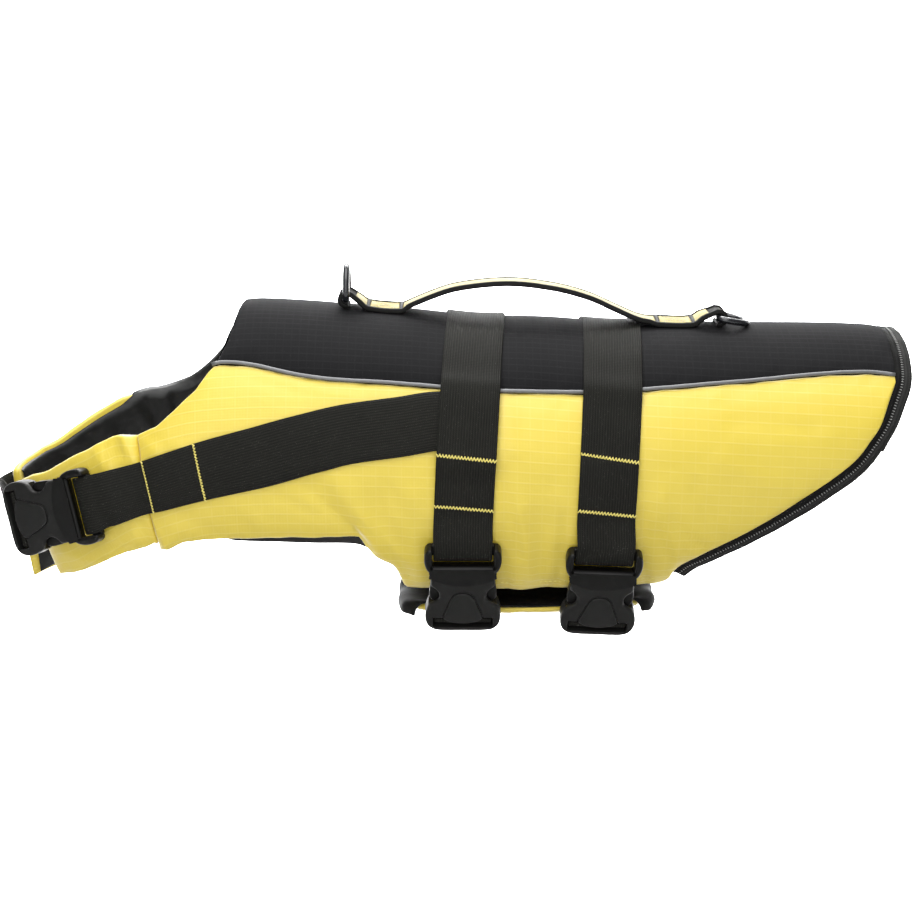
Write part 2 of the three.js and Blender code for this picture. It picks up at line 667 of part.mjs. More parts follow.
// A girth strap from the male half on the near side over the back to the far lower edge.
function buildGirthStrap(key) {
  const strap = girthStraps[key];
  const farEnd = -143.5;
  const frame = bellyBuckleFrame(key);
  const places = [];
  const stepDegrees = 6;
  const nearEnd = strap.buckleRound - 1.5;
  const count = Math.ceil((nearEnd - farEnd) / stepDegrees);
  for (let i = 0; i <= count; i += 1) {
    const round = farEnd + ((nearEnd - farEnd) * i) / count;
    places.push({ along: strapAlong(strap, round), round });
  }
  const low = (place) => layGap + strapLift(key, place.round)
    + softStep(strap.buckleRound - 9, nearEnd, place.round)
    * (strap.buckleOut + bellyBuckleLift);
  const thick = (place) => webbingThickness
    + (doubledWebbing - webbingThickness)
    * softStep(doubledFrom - 1, doubledFrom + 2, place.round)
    * (1 - softStep(strap.buckleRound - 9, nearEnd, place.round));
  const rings = bandRings(places, strapAcross, low, (place) => low(place) + thick(place));
  rings.push(...buckleRings(frame, malePath, 1));
  addPiece(`girth_strap_${key}`, sweepRings(rings), 'webbingBlack');
}

const neckStrapAcross = [-1, -0.5, 0, 0.5, 1].map((share) => (share * webbingWidth) / 2);
const neckStrapStep = 14;

function buildNeckStrapNear() {
  const frame = chestBuckleFrame();
  const places = walkLine([...neckStrapLine].reverse(), neckStrapStep);
  const low = (place) => strapRest + (1 - softStep(104, 120, place.along)) * chestBuckleLift;
  const rings = bandRings(places, neckStrapAcross, low,
    (place) => low(place) + webbingThickness);
  rings.push(...buckleRings(frame, malePath, 1, neckStrapAcross));
  addPiece('neck_strap_near', sweepRings(rings), 'webbingBlack');
}

// The far neck strap goes round the front of the chest, clear of the flap, behind the end bar
// of the female half and into its slot.
function buildNeckStrapFar() {
  const frame = chestBuckleFrame();
  const tailToFront = [...neckStrapLine].reverse().map((row) => ({ ...row, round: -row.round }));
  const places = walkLine([...tailToFront, ...chestFrontLine], neckStrapStep);
  const low = (place) => strapRest + chestStandOff * (1 - softStep(0, 62, place.along));
  const rings = bandRings(places, neckStrapAcross, low,
    (place) => low(place) + webbingThickness);
  rings.push(...buckleRings(frame, [
    { u: 85, v: -8, w: -10 }, { u: 77, v: -4, w: -4.6 }, { u: 71, v: -1.5, w: -2.4 },
    { u: 65.5, v: 0, w: -1.8 }, { u: 62.9, v: 0, w: 0.2 }, { u: 62.3, v: 0, w: 3.4 },
    { u: 62.3, v: 0, w: 8 },
  ], -1, neckStrapAcross));
  addPiece('neck_strap_far', sweepRings(rings), 'webbingBlack');
}

// The belly panel hangs from the far side panel and lies just below the near one. Its section
// is given as a share of the body's half width and a height over the form's lowest line.
function bellyPoint(x, index, depth) {
  const along = x + straightOffset;
  const at = (name) => smoothValue(formRows, 'along', name, along);
  const place = (row) => new THREE.Vector3(x, row.side * at('half'), at('base') + row.rise);
  const here = bellyRows[index];
  const before = place(bellyRows[Math.max(index - 1, 0)]);
  const after = place(bellyRows[Math.min(index + 1, bellyRows.length - 1)]);
  const inward = new THREE.Vector3(0, -(after.z - before.z), after.y - before.y).normalize();
  return place(here).addScaledVector(inward, depth);
}

function buildBelly() {
  const steps = 7;
  const outer = [];
  const inner = [];
  bellyRows.forEach((row, index) => {
    const outerRow = [];
    const innerRow = [];
    for (let i = 0; i <= steps; i += 1) {
      const across = (i / steps) * 2 - 1;
      const x = belly.centre + across * (belly.half - row.inset);
      outerRow.push(bellyPoint(x, index, 0));
      innerRow.push(bellyPoint(x, index, row.wall));
    }
    outer.push(outerRow);
    inner.push(innerRow);
  });
  addPiece('belly_panel', wallGeometry(outer, inner, 1.6), 'ripstopYellow');

  // The lining lies on the inner face and rolls down over both ends.
  const ends = [
    { past: 8.4, drop: 9 }, { past: 6.6, drop: 3.6 }, { past: 3, drop: 0.3 }, { past: -6, drop: 0 },
  ];
  const upper = [];
  const lower = [];
  bellyRows.slice(0, -1).forEach((row, index) => {
    const upperRow = [];
    const lowerRow = [];
    const reach = belly.half - row.inset;
    const columns = [
      ...ends.map((end) => ({ x: -reach - end.past, drop: end.drop })),
      { x: -reach / 3, drop: 0 }, { x: reach / 3, drop: 0 },
      ...[...ends].reverse().map((end) => ({ x: reach + end.past, drop: end.drop })),
    ];
    for (const column of columns) {
      const x = belly.centre + column.x;
      const depth = row.wall + 0.9;
      lowerRow.push(bellyPoint(x, index, depth - column.drop));
      const wall = column.drop > 3 ? 2.4 : liningWall;
      upperRow.push(bellyPoint(x, index, depth - column.drop + wall)
        .add(new THREE.Vector3(column.drop > 3 ? Math.sign(column.x) * 1.2 : 0, 0, 0)));
    }
    upper.push(upperRow);
    lower.push(lowerRow);
  });
  addPiece('belly_lining', wallGeometry(upper, lower, 0), 'liningBlack');
}

// A belly strap from the female half under the belly panel to the far girth strap's end.
function buildBellyStrap(key) {
  const strap = girthStraps[key];
  const frame = bellyBuckleFrame(key);
  const rings = buckleRings(frame, [
    { u: 62.3, w: 8 }, { u: 62.3, w: 3.4 }, { u: 62.9, w: 0.2 }, { u: 65.5, w: -1.8 },
    { u: 70, w: -1.9 },
  ], -1);
  const x = facePoint(strap.low, strap.buckleRound).x;
  const row = (index, depth) => strapAcross.map((across) => bellyPoint(x - across, index, depth));
  for (let index = 1; index < bellyRows.length; index += 1) {
    rings.push([...row(index, -layGap), ...row(index, -layGap - webbingThickness).reverse()]);
  }
  addPiece(`belly_strap_${key}`, sweepRings(rings), 'webbingBlack');
}

// A side-release buckle for 38 mm webbing, drawn in its own axes. Its plates are outlines in u
// and v with chamfered rims between two heights.
function chamferPlate(outline, low, high, chamfer) {
  const count = outline.length;
  const inset = outline.map((at, index) => {
    const before = outline[(index + count - 1) % count];
    const after = outline[(index + 1) % count];
    const along = after.clone().sub(before).normalize();
    return new THREE.Vector2(at.x - along.y * chamfer, at.y + along.x * chamfer);
  });
  const levels = [[inset, low], [outline, low + chamfer], [outline, high - chamfer], [inset, high]];
  const points = levels.flatMap(([ring, w]) => ring.map((at) => new THREE.Vector3(at.x, at.y, w)));
  const triangles = [];
  for (let level = 0; level < levels.length - 1; level += 1) {
    for (let k = 0; k < count; k += 1) {
      const next = (k + 1) % count;
      const here = level * count;
      addQuad(triangles, here + k, here + next, here + count + next, here + count + k);
    }
  }
  const top = (levels.length - 1) * count;
  for (const [a, b, c] of THREE.ShapeUtils.triangulateShape(inset, [])) {
    triangles.push(a, c, b, top + a, top + b, top + c);
  }
  return asManifold(solidGeometry(points, triangles));
}

function cutBox(u, v, w) {
  const box = new THREE.BoxGeometry(u[1] - u[0], v[1] - v[0], w[1] - w[0]);
  box.translate((u[0] + u[1]) / 2, (v[0] + v[1]) / 2, (w[0] + w[1]) / 2);
  return asManifold(box);
}

function asManifold(geometry) {
  const bare = geometry.clone();
  bare.deleteAttribute('normal');
  bare.deleteAttribute('uv');
  const merged = mergeVertices(bare, 1e-4);
  return new wasm.Manifold(new wasm.Mesh({
    numProp: 3,
    vertProperties: new Float32Array(merged.attributes.position.array),
    triVerts: new Uint32Array(merged.index.array),
  }));
}

function asGeometry(manifold) {
  const { vertProperties, triVerts } = manifold.getMesh();
  const geometry = new THREE.BufferGeometry();
  geometry.setAttribute('position', new THREE.BufferAttribute(vertProperties, 3));
  geometry.setIndex(new THREE.BufferAttribute(triVerts, 1));
  return geometry;
}

// Outlines are given for one side, in order of u, and mirrored to run round anticlockwise.
function mirroredOutline(half) {
  const far = half.map(([u, v]) => [u, -v]);
  return [...far, ...[...half].reverse()].map(([u, v]) => new THREE.Vector2(u, v));
}

const slotHalf = webbingWidth / 2 + 0.8;

function maleHalf() {
  const outline = mirroredOutline([
    [0.6, 18], [1.2, 21.4], [4.4, 23.6], [9, 24], [17, 24], [23, 22.8], [26.8, 20], [28, 15],
  ]);
  let solid = chamferPlate(outline, 1.2, 10.8, 1.4)
    .subtract(cutBox([9, 15.6], [-slotHalf, slotHalf], [0, 12]))
    .subtract(cutBox([-1, 9.3], [-slotHalf, slotHalf], [5, 12]));
  for (const side of [1, -1]) {
    const prong = [[26, 14.6], [47, 14.6], [47.6, 18.6], [43.6, 21.2], [39.4, 18.2], [26, 18]]
      .map(([u, v]) => new THREE.Vector2(u, v * side));
    if (side < 0) prong.reverse();
    solid = solid.add(chamferPlate(prong, 3.8, 8.4, 0.5));
  }
  return asGeometry(solid);
}

function femaleHalf() {
  const outline = mirroredOutline([
    [buckle.mouth, 21.6], [31, 21.4], [32.4, 18.4], [35, 16.9], [40, 16.9], [43.6, 18.4],
    [46.4, 21.8], [53, 23.6], [60, 24], [65.4, 22.6], [68.8, 19.4], [buckle.length, 14],
  ]);
  const pad = mirroredOutline([
    [35.6, 3], [37.4, 6], [44, 8.4], [51, 11.6], [56, 13], [58.4, 11.6], [58.8, 8],
  ]);
  let solid = chamferPlate(outline, 0, buckle.thickness, 1.6)
    .subtract(cutBox([59.6, 65], [0.4 - slotHalf, slotHalf - 0.4], [-1, buckle.thickness + 1]))
    .add(chamferPlate(pad, 8, buckle.thickness + 1, 0.6));
  for (const side of [1, -1]) {
    const span = (near, far) => (side > 0 ? [near, far] : [-far, -near]);
    const tunnel = cutBox([27, 48.6], span(14.1, 24.5), [3.3, 8.9]);
    const rail = cutBox([27, 31.2], span(18.5, 25), [3, 9.2]);
    solid = solid.subtract(tunnel.subtract(rail));
  }
  return asGeometry(solid);
}

function buildBuckles() {
  const frames = {
    chest: chestBuckleFrame(),
    belly_front: bellyBuckleFrame('front'),
    belly_rear: bellyBuckleFrame('rear'),
  };
  for (const [name, frame] of Object.entries(frames)) {
    for (const [half, geometry] of [['male', maleHalf()], ['female', femaleHalf()]]) {
      const mesh = addPiece(`${name}_buckle_${half}`, geometry, 'plasticBlack');
      mesh.applyMatrix4(frame);
    }
  }
}

// The carrying handle: a bound strap that follows one line over the ridge.
function saddleHeight(x, y) {
  const along = x + straightOffset;
  const half = smoothValue(formRows, 'along', 'half', along);
  const round = THREE.MathUtils.radToDeg(Math.asin((Math.abs(y) / half) ** (1 / shoulder)));
  return facePoint(along, -Math.sign(y) * round).z;
}

const loopRadius = ringWire + ringLoop.clearance;

function ringCentre(x) {
  const height = saddleHeight(x, handleSide) + layGap + loopRadius + ringLoop.thickness;
  return new THREE.Vector3(x, handleSide, height);
}

function loopPlaces(centre, fromAngle, toAngle, count) {
  return Array.from({ length: count }, (_, index) => {
    const angle = radians(fromAngle + ((toAngle - fromAngle) * index) / (count - 1));
    return {
      x: centre.x + Math.cos(angle) * loopRadius,
      z: centre.z + Math.sin(angle) * loopRadius,
      normal: new THREE.Vector3(Math.cos(angle), 0, Math.sin(angle)),
      roll: 0,
    };
  });
}

function handlePlaces() {
  const front = ringCentre(handleEnds.frontRing);
  const rear = ringCentre(handleEnds.rearRing);
  const onSaddle = (x) => ({
    x, z: saddleHeight(x, handleSide) + handleEnds.boxClearance, roll: handleEnds.boxRoll,
  });
  const [boxA, boxB, boxC, boxD] = handleEnds.boxes.map(onSaddle);
  const arch = new THREE.CatmullRomCurve3([boxB, ...handleArch, boxC]
    .map((at) => new THREE.Vector3(at.x, 0, at.z)), false, 'centripetal');
  const archPlaces = arch.getPoints(13).map((at, index) => ({
    x: at.x,
    z: at.z,
    roll: index === 0 || index === 13 ? handleEnds.boxRoll : handleEnds.archRoll,
  }));
  return [
    ...loopPlaces(front, 290, 55, 9),
    { x: (front.x + boxA.x) / 2 + 1, z: (front.z + boxA.z) / 2 + 0.6, roll: 2.5 },
    boxA,
    ...archPlaces,
    boxD,
    { x: (rear.x + boxD.x) / 2 - 1.5, z: (rear.z + boxD.z) / 2 + 1.4, roll: 2.5 },
    ...loopPlaces(rear, 125, -110, 9),
  ];
}

function handleRings(places, section) {
  return places.map((place, index) => {
    const before = places[Math.max(index - 1, 0)];
    const after = places[Math.min(index + 1, places.length - 1)];
    const heading = new THREE.Vector3(after.x - before.x, 0, after.z - before.z).normalize();
    const up = place.normal ?? new THREE.Vector3(-heading.z, 0, heading.x);
    const roll = radians(place.roll);
    const sideways = new THREE.Vector3(0, Math.cos(roll), 0).addScaledVector(up, Math.sin(roll));
    const raised = up.clone().multiplyScalar(Math.cos(roll))
      .add(new THREE.Vector3(0, -Math.sin(roll), 0));
    return section.map(([across, height]) => new THREE.Vector3(place.x, handleSide, place.z)
      .addScaledVector(sideways, across).addScaledVector(raised, height));
  });
}

function buildHandle() {
  const places = handlePlaces();
  const half = handleWidth / 2;
  const rim = half - handleBinding.width;
  const top = handleCore + handleBinding.height;
  const strapSection = [
    [-half, top], [-rim, top], [0.2 - rim, handleCore], [rim - 0.2, handleCore], [rim, top],
    [half, top], [half, 0], [rim, 0], [rim - 0.2, 0], [0.2 - rim, 0], [-rim, 0], [-half, 0],
  ];
  addPiece('handle_strap', sweepRings(handleRings(places, strapSection)), 'webbingBlack');
  const face = rim - 0.7;
  const low = handleCore + layGap;
  const faceSection = [[-face, top], [face, top], [face, low], [-face, low]];
  const shown = handleRings(places, faceSection).slice(5, -5);
  addPiece('handle_facing', sweepRings(shown), 'ripstopYellow');
}

// A D-ring: a straight bar through the loop and an arc, round wire.
function buildRing(name, x, tilt) {
  const centre = ringCentre(x);
  const lean = radians(tilt);
  const reach = new THREE.Vector3(Math.sin(lean), 0, Math.cos(lean));
  const line = [[-ringWidth / 2 + 3, 0], [0, 0], [ringWidth / 2 - 3, 0]];
  const steps = 13;
  for (let k = 0; k <= steps; k += 1) {
    const t = (k / steps) * Math.PI;
    const side = Math.sign(Math.cos(t)) * Math.abs(Math.cos(t)) ** 0.8;
    line.push([side * (ringWidth / 2), Math.max(0.5, ringHeight * Math.sin(t) ** 0.85)]);
  }
  const points = line.map(([y, r]) => centre.clone()
    .add(new THREE.Vector3(0, y, 0)).addScaledVector(reach, r));
  const planeNormal = new THREE.Vector3().crossVectors(new THREE.Vector3(0, 1, 0), reach);
  const sides = 6;
  const rings = points.map((point, index) => {
    const before = points[(index + points.length - 1) % points.length];
    const after = points[(index + 1) % points.length];
    const heading = after.clone().sub(before).normalize();
    const sideways = new THREE.Vector3().crossVectors(planeNormal, heading).normalize();
    return Array.from({ length: sides }, (_, k) => {
      const turn = ((k + 0.5) / sides) * 2 * Math.PI;
      return point.clone().addScaledVector(sideways, Math.cos(turn) * ringWire)
        .addScaledVector(planeNormal, Math.sin(turn) * ringWire);
    });
  });
  addPiece(name, sweepRings(rings, true), 'ringBlack');
}

buildSaddle();
buildSidePanel('side_panel_near', 1, neckline);
buildSidePanel('side_panel_far', -1, farNeckline);
buildFlap('neck_flap_near', 1, neckline, 32, { along: 45, round: 120 }, 0);
buildFlap('neck_flap_far', -1, farNeckline, -3, { along: 3, round: 127 }, 9);
buildLining('lining_near', 1, neckline, { top: 37, low: 50 });
buildLining('lining_far', -1, farNeckline, { top: 3, low: 9 });
buildPiping('piping_near', 1);
buildPiping('piping_far', -1);
buildHemTape();
buildGirthStrap('front');
buildGirthStrap('rear');
buildNeckStrapNear();
buildNeckStrapFar();
buildBelly();
buildBellyStrap('front');
buildBellyStrap('rear');
buildBuckles();
buildHandle();
buildRing('d_ring_front', handleEnds.frontRing, ringTilt.front);
buildRing('d_ring_rear', handleEnds.rearRing, ringTilt.rear);

// The origin goes to the lining's inner face under the ridge.
const innerFace = -foamWall - liningGap - liningWall;
jacket.position.z = -facePoint(straightOffset, 0, innerFace).z;

export default jacket;
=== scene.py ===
# Dog life jacket, filled out as it is worn: the looks of every piece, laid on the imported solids.
# Blender works in metres. The tables below are in millimetres and degrees, in the part's own
# frame: -X neck, +X tail, -Y the near side with the buckles, +Z up.
#
# A place on the body form has two numbers: its length along the body from the middle of the
# chest (along) and its turn from the ridge of the back down to the belly (turn, positive on the
# near side).

import math

import bmesh
import bpy
import numpy as np
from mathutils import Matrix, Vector


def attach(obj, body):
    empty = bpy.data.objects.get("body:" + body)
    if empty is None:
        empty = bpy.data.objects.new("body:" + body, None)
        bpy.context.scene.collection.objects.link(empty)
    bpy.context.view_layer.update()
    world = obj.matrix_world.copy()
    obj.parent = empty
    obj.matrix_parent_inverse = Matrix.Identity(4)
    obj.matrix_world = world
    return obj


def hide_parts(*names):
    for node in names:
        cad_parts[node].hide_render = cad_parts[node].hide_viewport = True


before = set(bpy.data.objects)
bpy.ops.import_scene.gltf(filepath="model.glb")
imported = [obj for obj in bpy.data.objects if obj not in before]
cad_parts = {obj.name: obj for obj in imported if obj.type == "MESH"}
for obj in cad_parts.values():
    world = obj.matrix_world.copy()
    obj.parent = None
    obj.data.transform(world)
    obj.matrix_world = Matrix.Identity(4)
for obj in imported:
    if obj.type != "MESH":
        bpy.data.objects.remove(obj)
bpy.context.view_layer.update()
mm = 0.001
print("frame loaded:", len(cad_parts), "solids")

# The body form and the edge lines of the cut, as the solids have them.
bodyForm = {
    "columns": ("along", "x", "half", "top", "wide", "base", "lean"),
    "rows": (
        (0, -354, 0, -60, -128, -196, 13.5),
        (17, -350.5, 17, -60, -128, -196, 13.5),
        (35, -341, 32, -56, -127, -195, 13.5),
        (58, -324, 47, -44, -124, -192, 13),
        (87, -299, 62, -16, -112, -186, 11),
        (121, -267, 75, 12, -96, -180, 7),
        (153, -236, 80, 22, -84, -177, 3),
        (185, -204, 83, 23, -76, -176, 0),
        (224, -165, 86, 21, -72, -178, 0),
        (279, -110, 89, 16.5, -72, -182, 0),
        (339, -50, 91, 12, -72, -185, 0),
        (399, 10, 88, 9, -72, -185, 0),
        (459, 70, 83, 6.8, -70, -181, 0),
        (520, 130, 77, 5.8, -66, -172, 0),
        (580, 190, 71, 5.5, -62, -160, 0),
        (640, 250, 65, 4, -58, -148, 0),
        (700, 310, 59, 2, -54, -136, 0),
    ),
    "shoulder": 0.92,  # below 1 the section is squarer than an ellipse
    "straightOffset": 389,  # behind the chest, x is along less this
}
wall = {"foam": 7.0, "lining": 1.2, "liningGap": 1.1, "webbing": 2.0, "webbingWidth": 38.0}

neckline = {  # the free edge first, near side and far side
    1: (
        (32, 61.4), (46, 59.8), (73, 62.5), (94, 64.7), (112, 65.4), (125, 69), (140, 68.4),
        (151, 64.2), (164, 57.9), (174, 48.6),
    ),
    -1: (
        (-3, 60), (8, 57), (22, 54.5), (40, 52.4), (63, 53.2), (82, 56.2), (92, 57.4),
        (101, 58.6), (112, 61.6), (125, 64.6), (134, 65.5), (143, 65.6), (151, 63.6),
        (158, 60.8), (164, 57), (174, 48.6),
    ),
}
saddleFront = ((174, 48.6), (181, 36.7), (184.5, 18), (186, 0))
seamLine = (
    (174, 48.6), (179, 47.7), (198, 49), (227, 53), (248, 54.3), (287, 54.4), (322, 55),
    (359, 55.9), (409, 56), (448, 54.9), (478, 53.7), (530, 51.5), (565, 49.5), (600, 49.1),
    (617, 51.7),
)
flapEnds = {  # where the free end starts above and below, and how far its low corner stands off
    1: {"top": 32, "low": 45, "lowTurn": 120, "flare": 0},
    -1: {"top": -3, "low": 3, "lowTurn": 127, "flare": 9},
}
hinge = {"top": 126.1, "low": 130.6, "flareReach": 0.35}
flapLow = ((45, 120), (57, 120), (73, 119.4), (99, 116.1), (118, 116.1), (130, 116.8))
sideLow = (
    (131, 120.5), (138, 120.5), (150, 118.3), (190, 119.8), (233, 119.1), (266, 118.4),
    (271, 121.8), (278, 127.1), (289, 132.3), (293.5, 140.5), (298, 146.4), (318, 145.9),
    (359, 145.4), (399, 146.2), (448, 147.5), (463, 147.4), (471, 145.7), (474.6, 140.5),
)
hemLine = (
    (474.6, 140.5), (484, 134.2), (504, 127.9), (529, 120.4), (546, 115), (568, 106.9),
    (591, 96.6), (604, 83.4), (612, 66.2), (616.6, 53.6), (617.5, 36), (616.8, 16), (616.5, 0),
)
neckStrapLine = (
    (101, 86.8), (108, 87.6), (132, 89.3), (166, 88.9), (200, 86.5), (231, 82.1), (262, 77),
    (296, 73.2), (320, 70.2), (354, 70.4),
)
chestFrontLine = ((60, -81.5), (38, -79.4), (18, -79), (2, -79.6))
girthStraps = {
    "front": {"ridge": 344, "low": 334.5, "buckleTurn": 116.4, "buckleOut": 2.0, "swing": 0},
    "rear": {"ridge": 434, "low": 426.5, "buckleTurn": 119.4, "buckleOut": 3.1, "swing": -3},
}

formTable = np.array(bodyForm["rows"], float)
mirrored = formTable[1:][::-1] * np.array([-1, 1, -1, 1, 1, 1, 1])
formTable = np.vstack([mirrored, formTable])


def hermite(stations, values, at):
    stations = np.asarray(stations, float)
    values = np.asarray(values, float)
    last = len(stations) - 1
    before = np.maximum(np.arange(last + 1) - 1, 0)
    after = np.minimum(np.arange(last + 1) + 1, last)
    spread = (stations[after] - stations[before]).reshape((-1,) + (1,) * (values.ndim - 1))
    slopes = (values[after] - values[before]) / spread
    at = np.clip(np.asarray(at, float), stations[0], stations[-1])
    index = np.clip(np.searchsorted(stations, at, side="right") - 1, 0, last - 1)
    span = stations[index + 1] - stations[index]
    f = (at - stations[index]) / span
    shape = f.shape + (1,) * (values.ndim - 1)
    f = f.reshape(shape)
    span = span.reshape(shape)
    return (
        (2 * f**3 - 3 * f**2 + 1) * values[index]
        + (f**3 - 2 * f**2 + f) * span * slopes[index]
        + (3 * f**2 - 2 * f**3) * values[index + 1]
        + (f**3 - f**2) * span * slopes[index + 1]
    )


def formValues(along):
    found = hermite(formTable[:, 0], formTable[:, 1:], along)
    return {name: found[..., k] for k, name in enumerate(bodyForm["columns"][1:])}


def formPoint(along, turn):
    along, turn = np.broadcast_arrays(np.asarray(along, float), np.asarray(turn, float))
    row = formValues(along)
    angle = np.radians(turn)
    reach = np.where(np.abs(turn) < 90, row["top"] - row["wide"], row["wide"] - row["base"])
    rise = reach * np.cos(angle)
    out = row["half"] * np.sign(np.sin(angle)) * np.abs(np.sin(angle)) ** bodyForm["shoulder"]
    lean = np.radians(row["lean"])
    return np.stack([row["x"] - np.sin(lean) * rise, -out, row["wide"] + np.cos(lean) * rise], -1)


def unit(vectors):
    return vectors / np.linalg.norm(vectors, axis=-1, keepdims=True)


def formSteps(along, turn):
    alongStep = formPoint(along + 0.5, turn) - formPoint(along - 0.5, turn)
    turnStep = formPoint(along, turn + 0.5) - formPoint(along, turn - 0.5)
    return alongStep, turnStep, unit(np.cross(turnStep, alongStep))


# Folds: fromAlong, fromTurn, toAlong, toTurn, width, depth. These large ones are in the solids
# too; the creases are drawn here alone.
largeFolds = (
    (125, 66, 131, 120, 6.5, -2.6),
    (108, 63, 114, 74, 4.5, -1.6),
    (240, 97, 268, 118, 8, -2.6),
    (252, 96, 284, 126, 9, 1.8),
    (283, 104, 296, 140, 10, -1.8),
    (384, 112, 392, 146, 11, -1.6),
    (462, 118, 478, 138, 9, -1.8),
)
nearCreases = (
    (119, 68, 127, 82, 2.4, 2.0),
    (113, 68, 117, 80, 1.8, -1.5),
    (104, 66, 112, 79, 1.2, -1.6),
    (101, 67, 108, 80, 2.0, 1.2),
    (128, 98, 136, 118, 3.0, 2.0),
    (121, 102, 127, 117, 2.2, -1.8),
    (133, 70, 150, 80, 3.0, -1.0),
    (140, 76, 168, 82, 3.4, 0.8),
    (84, 99, 106, 113, 4.0, -1.0),
    (60, 104, 88, 117, 4.5, 0.9),
    (139, 97, 158, 104, 3.2, -0.7),
    (150, 104, 176, 117, 4.2, -0.9),
    (182, 98, 206, 113, 4.6, 0.8),
    (212, 100, 238, 108, 3.2, -0.8),
    (232, 98, 262, 110, 2.6, -1.0),
    (244, 101, 276, 118, 2.2, 1.1),
    (262, 112, 290, 136, 3.0, -1.3),
    (270, 108, 300, 128, 3.4, 1.0),
    (286, 96, 312, 118, 5.0, -0.8),
    (300, 100, 306, 138, 4.0, 0.9),
    (361, 62, 367, 84, 5.0, 0.7),
    (359, 92, 370, 124, 3.0, -1.5),
    (360, 112, 364, 142, 2.4, -1.8),
    (371, 104, 380, 136, 4.0, 1.3),
    (388, 96, 386, 128, 6.0, -0.8),
    (400, 108, 397, 142, 2.8, -1.6),
    (449, 84, 454, 118, 3.6, -1.0),
    (450, 108, 457, 144, 2.8, -1.8),
    (462, 102, 476, 132, 3.2, 1.4),
    (470, 112, 492, 126, 2.8, -1.2),
    (484, 100, 504, 122, 4.2, -1.0),
    (500, 92, 540, 104, 6.0, 0.8),
    (510, 74, 560, 80, 8.0, -0.8),
    (316, 62, 322, 100, 4.0, -0.8),
    (196, 55, 224, 60, 3.2, -0.5),
    (231, 58, 262, 61, 2.8, 0.45),
    (282, 58, 318, 61, 3.0, -0.4),
    (372, 60, 396, 64, 3.2, -0.4),
    (462, 57, 498, 60, 3.4, 0.4),
    (520, 54, 566, 57, 3.4, -0.4),
    (296, 136.3, 380, 138.8, 1.3, -0.55),
    (380, 138.8, 462, 140.6, 1.3, -0.55),
)
farCreases = (
    (118, 69, 126, 84, 3.0, 1.1),
    (98, 66, 106, 80, 2.4, -0.9),
    (127, 97, 135, 117, 3.0, 1.2),
    (76, 98, 100, 112, 4.2, -0.9),
    (142, 96, 166, 108, 3.6, -0.8),
    (176, 99, 204, 116, 4.4, 0.9),
    (226, 96, 256, 112, 3.0, -1.0),
    (250, 104, 280, 122, 2.8, 1.0),
    (272, 110, 296, 138, 3.2, -1.2),
    (290, 98, 308, 126, 4.8, 0.8),
    (366, 90, 374, 128, 3.8, -0.9),
    (380, 102, 386, 140, 4.2, 0.9),
    (454, 96, 460, 138, 3.6, -1.0),
    (470, 104, 486, 128, 4.4, 0.8),
    (204, 55, 240, 60, 3.2, -0.5),
    (300, 58, 334, 61, 3.2, 0.4),
    (472, 57, 512, 60, 3.4, -0.4),
    (296, 136.3, 380, 138.8, 1.3, -0.55),
    (380, 138.8, 462, 140.6, 1.3, -0.55),
)
strapSqueeze = {"depth": -1.6, "width": 25}


def foldSum(rows, along, turn):
    turn = np.abs(turn)
    mmPerDegree = 1.6
    depth = np.zeros(np.broadcast(along, turn).shape)
    for fromAlong, fromTurn, toAlong, toTurn, width, height in rows:
        dx = toAlong - fromAlong
        dy = (toTurn - fromTurn) * mmPerDegree
        px = along - fromAlong
        py = (turn - fromTurn) * mmPerDegree
        length = math.hypot(dx, dy)
        t = (px * dx + py * dy) / length**2
        across = (px * dy - py * dx) / length
        past = np.maximum(0, np.maximum(-t, t - 1)) * length
        depth += height * np.exp(-((across / width) ** 2) - (past / width) ** 2)
    return depth


def strapAlong(strap, turn):
    share = np.minimum(np.abs(turn) / 110, 1)
    return strap["ridge"] + (strap["low"] - strap["ridge"]) * share


def largeDepth(along, turn):
    depth = foldSum(largeFolds, along, turn)
    for strap in girthStraps.values():
        offset = (along - strapAlong(strap, turn)) / strapSqueeze["width"]
        depth = depth + strapSqueeze["depth"] * np.exp(-(offset**2))
    return depth


def facePoint(along, turn, out=0.0):
    along, turn = np.broadcast_arrays(np.asarray(along, float), np.asarray(turn, float))
    height = largeDepth(along, turn) + out
    return formPoint(along, turn) + formSteps(along, turn)[2] * height[..., None] - origin


origin = np.zeros(3)
innerFace = -wall["foam"] - wall["liningGap"] - wall["lining"]
origin = np.array([0, 0, facePoint(bodyForm["straightOffset"], 0.0, innerFace)[2]])

# Cloth coordinates: length along the body, and distance down from the ridge.
turnSteps = np.linspace(0, 180, 181)
stationSteps = np.linspace(0, 640, 65)
sections = formPoint(stationSteps[:, None], turnSteps[None, :])
sectionArc = np.zeros(sections.shape[:2])
sectionArc[:, 1:] = np.cumsum(np.linalg.norm(np.diff(sections, axis=1), axis=2), axis=1)


def clothPlace(along, turn):
    station = np.clip(np.abs(along) / 10, 0, 63.999)
    degrees = np.clip(np.abs(turn), 0, 179.999)
    i = station.astype(int)
    k = degrees.astype(int)
    f = station - i
    g = degrees - k
    arc = (sectionArc[i, k] * (1 - f) + sectionArc[i + 1, k] * f) * (1 - g)
    arc = arc + (sectionArc[i, k + 1] * (1 - f) + sectionArc[i + 1, k + 1] * f) * g
    return np.stack([along, arc * np.sign(turn)], -1)


# The length travelled at each row of points
def runLengths(points):
    return np.concatenate([[0], np.cumsum(np.linalg.norm(np.diff(points, axis=0), axis=-1))])


